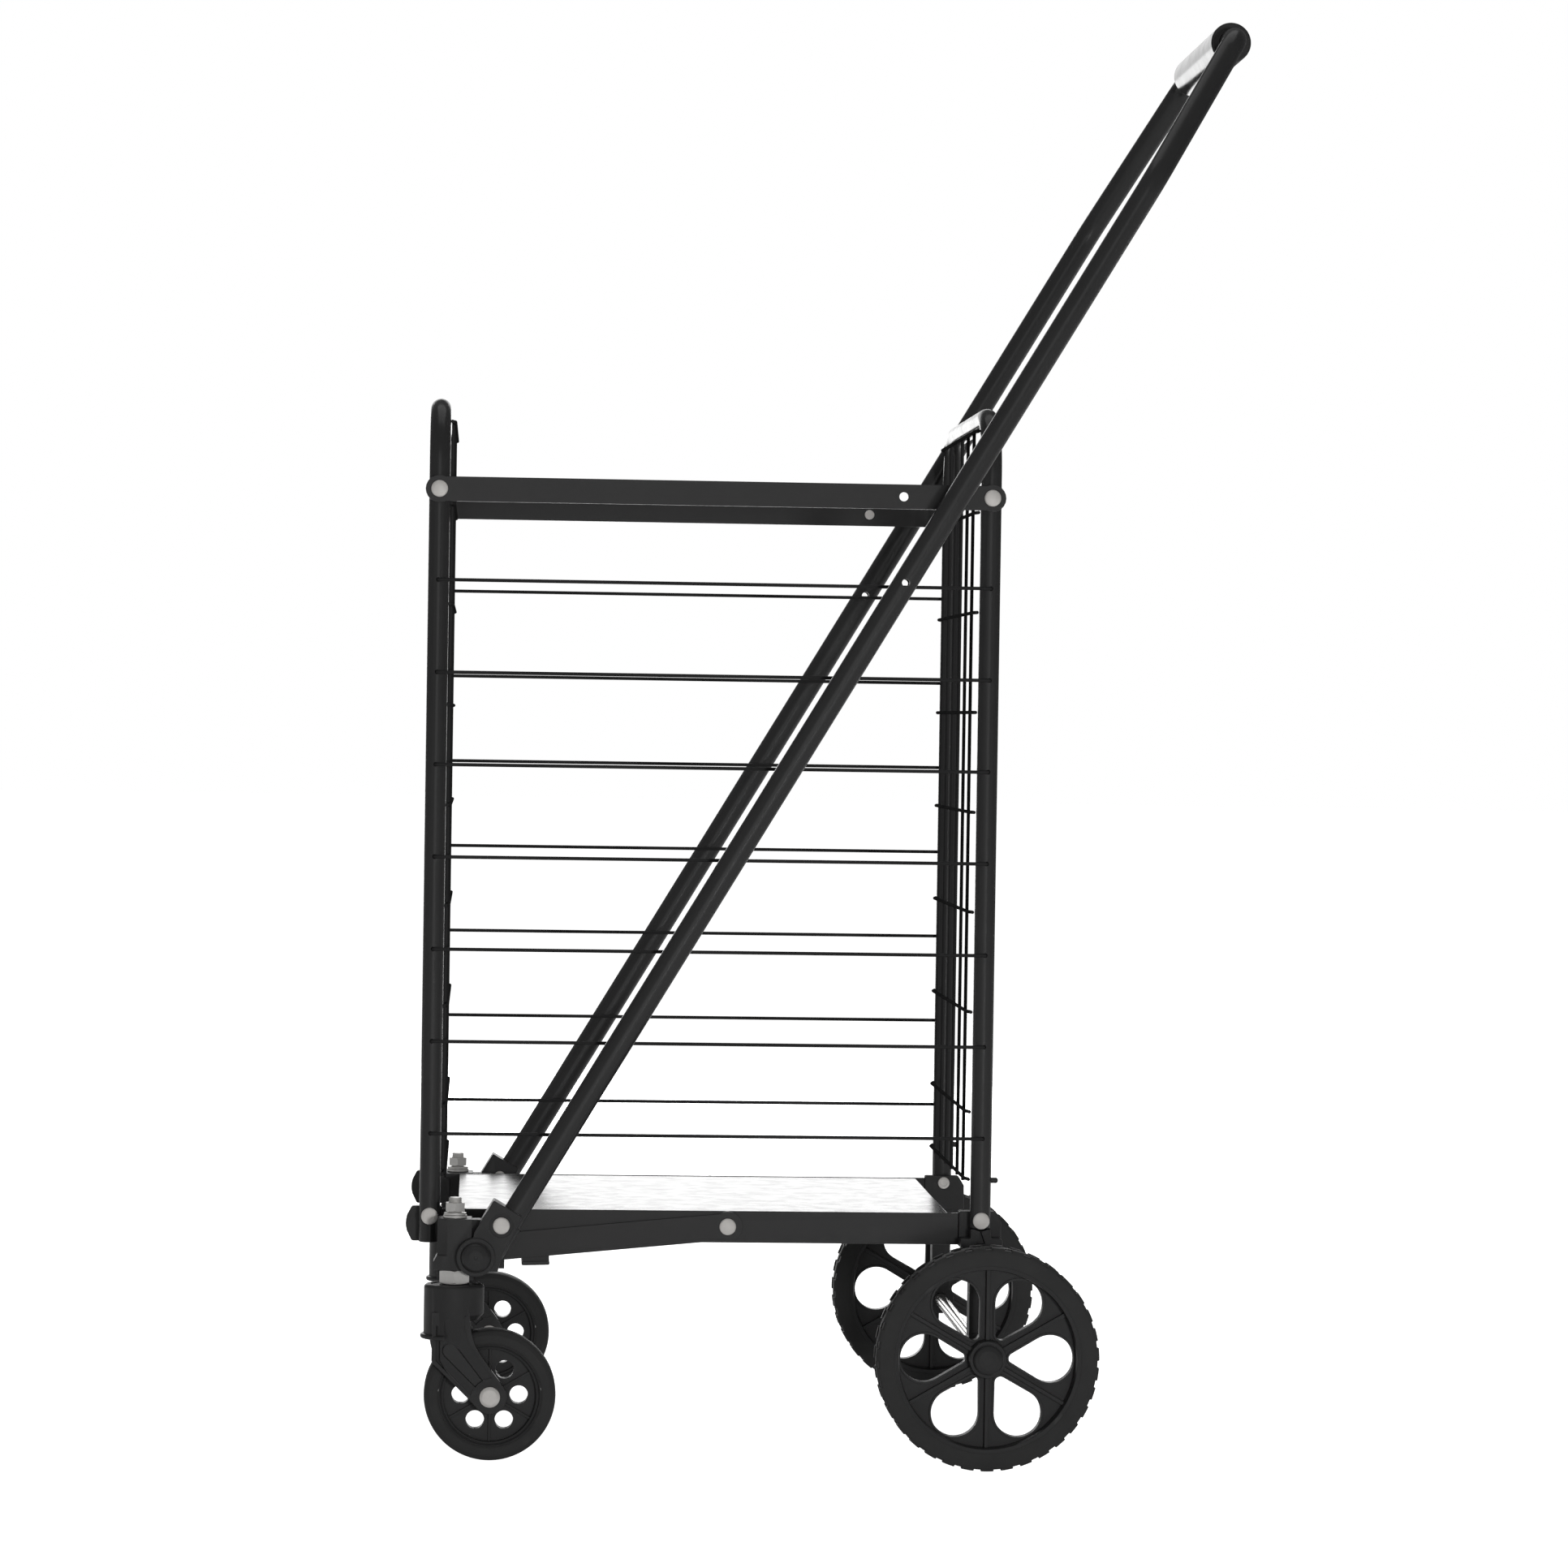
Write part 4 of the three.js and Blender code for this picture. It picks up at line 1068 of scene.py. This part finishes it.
def rear_wheel():
    """Moulded wheel: flanged rim, web with six teardrop openings, ribs and a hub."""
    flange = [
        (65.4, 9.5, 0.5), (66.0, 13, 0.4), (68.6, 13.5, 0.3), (69.3, 13.2, 0.3), (69.0, 12.6, 0.1),
        (RIM_R, 12.2),
    ]
    near = [(r, -y, *rest) for r, y, *rest in flange]
    rim = turned(near + list(reversed(flange)), WHEEL, steps=144)
    web = plate(circle((0, 0), 66.4, 120), -3, 3, 0.3)
    openings, lips = [], []
    for i in range(6):
        turn = Matrix.Rotation(-math.radians(60 * i), 4, Y)
        openings.append(moved(plate(teardrop(0), -20, 20, 0.1), turn))
        lip = plate(teardrop(1.6), -4.2, 4.2, 0.5)
        lips.append(moved(lip, turn))
    wheel = joined(web, *lips)
    ribs = []
    for i in range(6):
        rib = plate([(10, -1.4), (66.4, -1.4), (66.4, 1.4), (10, 1.4)], -7, 7, 0.4)
        ribs.append(moved(rib, Matrix.Rotation(-math.radians(30 + 60 * i), 4, Y)))
    hub = turned([
        (0, -13.4), (13.6, -13.4, 0.7), (14.3, -4), (14.3, 4), (13.6, 13.4, 0.7), (0, 13.4),
    ], (0, 0, 0), steps=72)
    wheel = cut(joined(wheel, *ribs), *openings)
    wheel = moved(joined(wheel, hub), Matrix.Translation(WHEEL))
    wheel = joined(wheel, rim)
    return cut(wheel, rod(WHEEL - 20 * Y, WHEEL + 20 * Y, AXLE_HOLE))


def hub_cap():
    """Domed cap pressed over the axle's end."""
    y = WHEEL.y
    return turned([
        (0, y + 15), (6, y + 14.6), (9.6, y + 13.3), (10.8, y + 13.5, 0.2),
        (10.9, y + 16.3, 0.6), (10.0, y + 17.8, 2), (7.2, y + 19.0, 4), (3.5, y + 19.5, 6),
        (0, y + 19.6),
    ], WHEEL_AXIS, steps=64)


def wheel_washer():
    """Washer that holds the wheel on the axle, under the hub cap."""
    y = WHEEL.y + 13.1
    return turned([
        (5.05, y, 0.1), (8.6, y, 0.15), (8.6, y + 0.9, 0.15), (5.05, y + 0.9, 0.1),
    ], WHEEL_AXIS, steps=40)


pair(rear_tyre, "large_tyre_{side}", "rear_wheel_{side}", "tyre_rubber", RUBBER, "rear_tyre_{side}")
pair(rear_wheel, "large_wheel_{side}", "rear_wheel_{side}", "moulded_plastic", PLASTIC,
     "rear_wheel_{side}")
pair(hub_cap, "large_wheel_cap_{side}", "rear_wheel_{side}", "moulded_plastic", PLASTIC,
     "rear_hub_cap_{side}")
pair(wheel_washer, "wheel_washer_{side}", "rear_frame", "bright_steel", STEEL)

# ---- rear corners and axle


def rear_corner():
    """Two cheeks about the upright's end and a leg down to the axle."""
    cheek = fillet([
        (191, 156.2, 1.2), (222.9, 156.2, 1.2), (222.6, 175.5, 2), (217.8, 183.2, 2),
        (191, 183.2, 1.2),
    ])
    hole = [circle((REAR_X, LOW_Z), LOOSE_HOLE, 28)]
    outer = plate(cheek, TRAY_Y + 0.3, INNER_FACE - 0.3, 0.7, hole)
    inner = plate(cheek, CAP_INSIDE, FLANGE_FACE - 0.3, 0.6, hole)
    leg_outline = fillet([
        (197, 150, 0), (198.2, 139, 8), (198.2, 84, 10), (199.6, 74), (203, 71, 3), (208, 71, 3),
        (211.4, 74), (212.8, 84, 10), (212.8, 139, 8), (214, 150, 0), (222.6, 157, 1),
        (222.6, 164, 2), (213.6, 164, 2), (213.6, 171, 0.6), (209.5, 171, 0.6),
        (REAR_X, 176.5, 1), (202.5, 171, 0.6),
        (198.4, 171, 0.6), (198.4, 164, 1), (191.2, 164, 1), (191.2, 157, 1),
    ])
    leg = plate(leg_outline, TRAY_Y + 0.3, OUTER_FACE - 1.2, 0.8)
    relief = plate(fillet([
        (200.4, 90, 2), (210.6, 90, 2), (210.6, 150, 2), (200.4, 150, 2),
    ]), OUTER_FACE - 2.0, OUTER_FACE + 3, 0.3)
    recess = plate(fillet([
        (REAR_X, 170.5, 0.6), (REAR_X - 3.6, 160, 0.6), (REAR_X + 3.6, 160, 0.6),
    ]), OUTER_FACE - 5, OUTER_FACE + 3, 0.3)
    leg = cut(leg, relief, recess, rod((REAR_X, 150, LOW_Z), (REAR_X, 170, LOW_Z), 8.1))
    boss_in, boss_out = TRAY_Y + 0.3, OUTER_FACE + 0.2
    boss = turned([
        (0, boss_in), (10.8, boss_in, 0.8), (10.8, boss_out, 0.8), (0, boss_out),
    ], WHEEL_AXIS, steps=56)
    spine = plate([
        (REAR_X - 1.2, 92), (REAR_X + 1.2, 92), (REAR_X + 1.2, 152), (REAR_X - 1.2, 152),
    ], OUTER_FACE - 4, OUTER_FACE - 1.3, 0.3)
    axle_hole = rod((WHEEL.x, 130, WHEEL.z), (WHEEL.x, 180, WHEEL.z), AXLE_HOLE)
    rivet_hole = rod((REAR_X, 135, LOW_Z), (REAR_X, 150, LOW_Z), LOOSE_HOLE)
    room = plate([
        (REAR_X - 8.1, 171), (REAR_X + 8.1, 171), (REAR_X + 8.1, 190), (REAR_X - 8.1, 190),
    ], INNER_FACE - 0.3, OUTER_FACE + 3, 0.1)
    body = cut(joined(outer, leg, spine, boss), axle_hole, rivet_hole, room)
    back = plate(fillet([
        (214.7, 158, 1), (222.2, 158, 1), (222.0, 174, 1), (214.7, 174, 1),
    ]), CAP_INSIDE + 0.5, INNER_FACE - 1.0, 0.4)
    return joined(body, inner, back)


def axle_sleeve():
    """Bright spacer on the axle between the corner's leg and the wheel."""
    return turned([
        (5.1, 163.8, 0.2), (7.5, 163.8, 0.4), (7.5, 208.1, 0.4), (5.1, 208.1, 0.2),
    ], WHEEL_AXIS, steps=48)


def axle():
    end = WHEEL.y + 13.2
    return rod((WHEEL.x, -end, WHEEL.z), (WHEEL.x, end, WHEEL.z), AXLE_R, edge=0.8)


def grid_screw():
    """Rounded end of the screw that holds the grid's lowest row to the upright."""
    screw = turned([
        (0, 0), (2.1, 0), (2.1, 5.6, 1.2), (1.2, 6.6, 1), (0, 6.8),
    ], (0, 0, 0), "Z", steps=24)
    place = Matrix.Translation((REAR_X + FRAME_R - 1.5, FRAME_Y, GRID_LOW_Z))
    return moved(screw, place @ Matrix.Rotation(math.pi / 2, 4, Y))


def stop_rivet():
    """Rivet in the storage-lock hole of the right top rail."""
    y = RAIL_Y
    return turned([
        (0, y - 1.6), (3.9, y - 1.6, 0.4), (3.9, y - 0.1), (3.2, y - 0.1), (3.2, y + 2.6),
        (4.6, y + 2.6, 0.2), (4.2, y + 3.6, 1), (0, y + 4.2),
    ], (LOCK_X, 0, TOP_Z), steps=40)


pair(rear_corner, "wheel_leg_{side}", "rear_frame", "moulded_plastic", PLASTIC,
     "rear_corner_{side}")
pair(axle_sleeve, "axle_sleeve_{side}", "rear_frame", "bright_steel", POLISHED)
piece(axle(), "wheel_axle", "rear_frame", "bright_steel", POLISHED, "rear_axle")
pair(grid_screw, "grid_screw_{side}", "rear_frame", "black_paint", PAINT)
piece(stop_rivet(), "storage_stop_rivet", "top_rails", "bright_steel", STEEL)

# ---- camera

CAMERA_PLACE = Vector((-0.2627, -3.8256, 0.54925))
LENS_MM = 112.955
SENSOR_MM = 36
YAW = math.radians(3.4978)
PITCH = math.radians(0.7306)
ROLL = math.radians(0.8625)


def photo_camera():
    """The camera at the photograph's viewing angle: yaw, pitch and a slight roll."""
    data = bpy.data.cameras.new("camera")
    data.lens = LENS_MM
    data.sensor_width = SENSOR_MM
    camera = linked("camera", data)
    flat = math.cos(PITCH)
    ahead = Vector((math.sin(YAW) * flat, math.cos(YAW) * flat, -math.sin(PITCH)))
    level = ahead.cross(Z).normalized()
    down = ahead.cross(level)
    right = math.cos(ROLL) * level - math.sin(ROLL) * down
    below = math.sin(ROLL) * level + math.cos(ROLL) * down
    turn = Matrix((right, -below, -ahead)).transposed().to_4x4()
    camera.matrix_world = Matrix.Translation(CAMERA_PLACE) @ turn
    bpy.context.scene.camera = camera


photo_camera()

# ---- floor and studio light

bpy.context.scene.view_settings.view_transform = "Standard"
CART_MIDDLE = Vector((0, 0, 0.45))
WHITE = (1, 1, 1, 1)
SURROUND_LEFT, SURROUND_RIGHT = 0.20, 0.08
KEY_SIZE = (0.34, 0.34)
KEYS = [
    ("key", (0.75, -4.0, 0.50), 340),
    ("key_back", (-0.6, 3.9, 0.9), 200),
    ("key_left", (-3.8, 0.9, 0.9), 90),
    ("key_right", (3.2, 2.6, 0.9), 110),
    ("key_top", (0.3, 1.2, 4.2), 130),
]


def softbox(name, place, size, radiance, glossy=True, target=CART_MIDDLE):
    """A rectangular light of the given size in metres, facing the cart."""
    light = bpy.data.lights.new(name, "AREA")
    light.shape = "RECTANGLE"
    light.size, light.size_y = size
    light.energy = radiance * math.pi * size[0] * size[1]
    lamp = linked(name, light)
    lamp.location = place
    lamp.rotation_euler = (target - Vector(place)).to_track_quat("-Z", "Y").to_euler()
    lamp.visible_camera = False
    lamp.visible_glossy = glossy


def studio_world():
    """White behind the cart, and a dimmer surround, brighter on the left, for its light."""
    world = bpy.data.worlds.new("studio")
    bpy.context.scene.world = world
    world.use_nodes = True
    nodes, links = world.node_tree.nodes, world.node_tree.links
    nodes.clear()
    out = nodes.new("ShaderNodeOutputWorld")
    mix = nodes.new("ShaderNodeMixShader")
    seen, lit = nodes.new("ShaderNodeBackground"), nodes.new("ShaderNodeBackground")
    path = nodes.new("ShaderNodeLightPath")
    place = nodes.new("ShaderNodeTexCoord")
    split = nodes.new("ShaderNodeSeparateXYZ")
    seen.inputs["Color"].default_value = WHITE
    links.new(place.outputs["Generated"], split.inputs["Vector"])
    side = spread(nodes, links, split.outputs["X"], SURROUND_LEFT, SURROUND_RIGHT, -0.9, 0.9)
    links.new(side, lit.inputs["Strength"])
    links.new(path.outputs["Is Camera Ray"], mix.inputs["Fac"])
    links.new(lit.outputs["Background"], mix.inputs[1])
    links.new(seen.outputs["Background"], mix.inputs[2])
    links.new(mix.outputs["Shader"], out.inputs["Surface"])


studio_world()
for name, place, radiance in KEYS:
    softbox(name, place, KEY_SIZE, radiance, glossy=False)
softbox("front", (-0.3, -4.8, 1.1), (2.3, 2.4), 0.5)
softbox("back_low", (-0.25, 3.6, 0.6), (2.2, 1.2), 2.4, target=Vector((-0.25, 0, 0.6)))
softbox("back_high", (-0.25, 3.6, 1.7), (2.2, 1.0), 1.3, target=Vector((-0.25, 0, 1.0)))
softbox("above", (0, 0.4, 3.2), (2.4, 2.4), 0.6)


def pale_floor():
    """A wide floor that the camera sees as white, and the cart as a dim pale grey."""
    floor = bpy.data.meshes.new("floor")
    reach = 30
    corners = [(-reach, -reach, 0), (reach, -reach, 0), (reach, reach, 0), (-reach, reach, 0)]
    floor.from_pydata(corners, [], [(0, 1, 2, 3)])
    obj = linked("studio_floor", floor)
    material, nodes, links, shader, place = surface("studio_floor", (0.45, 0.45, 0.45), 0.8)
    shader.inputs["Emission Color"].default_value = WHITE
    seen = nodes.new("ShaderNodeLightPath").outputs["Is Camera Ray"]
    links.new(spread(nodes, links, seen, 0.08, 1.0, 0, 1), shader.inputs["Emission Strength"])
    speckle = noise(nodes, links, place, 40, 3)
    links.new(tint(nodes, links, speckle, (0.44, 0.44, 0.44), (0.47, 0.47, 0.47)),
              shader.inputs["Base Color"])
    floor.materials.append(material)


pale_floor()
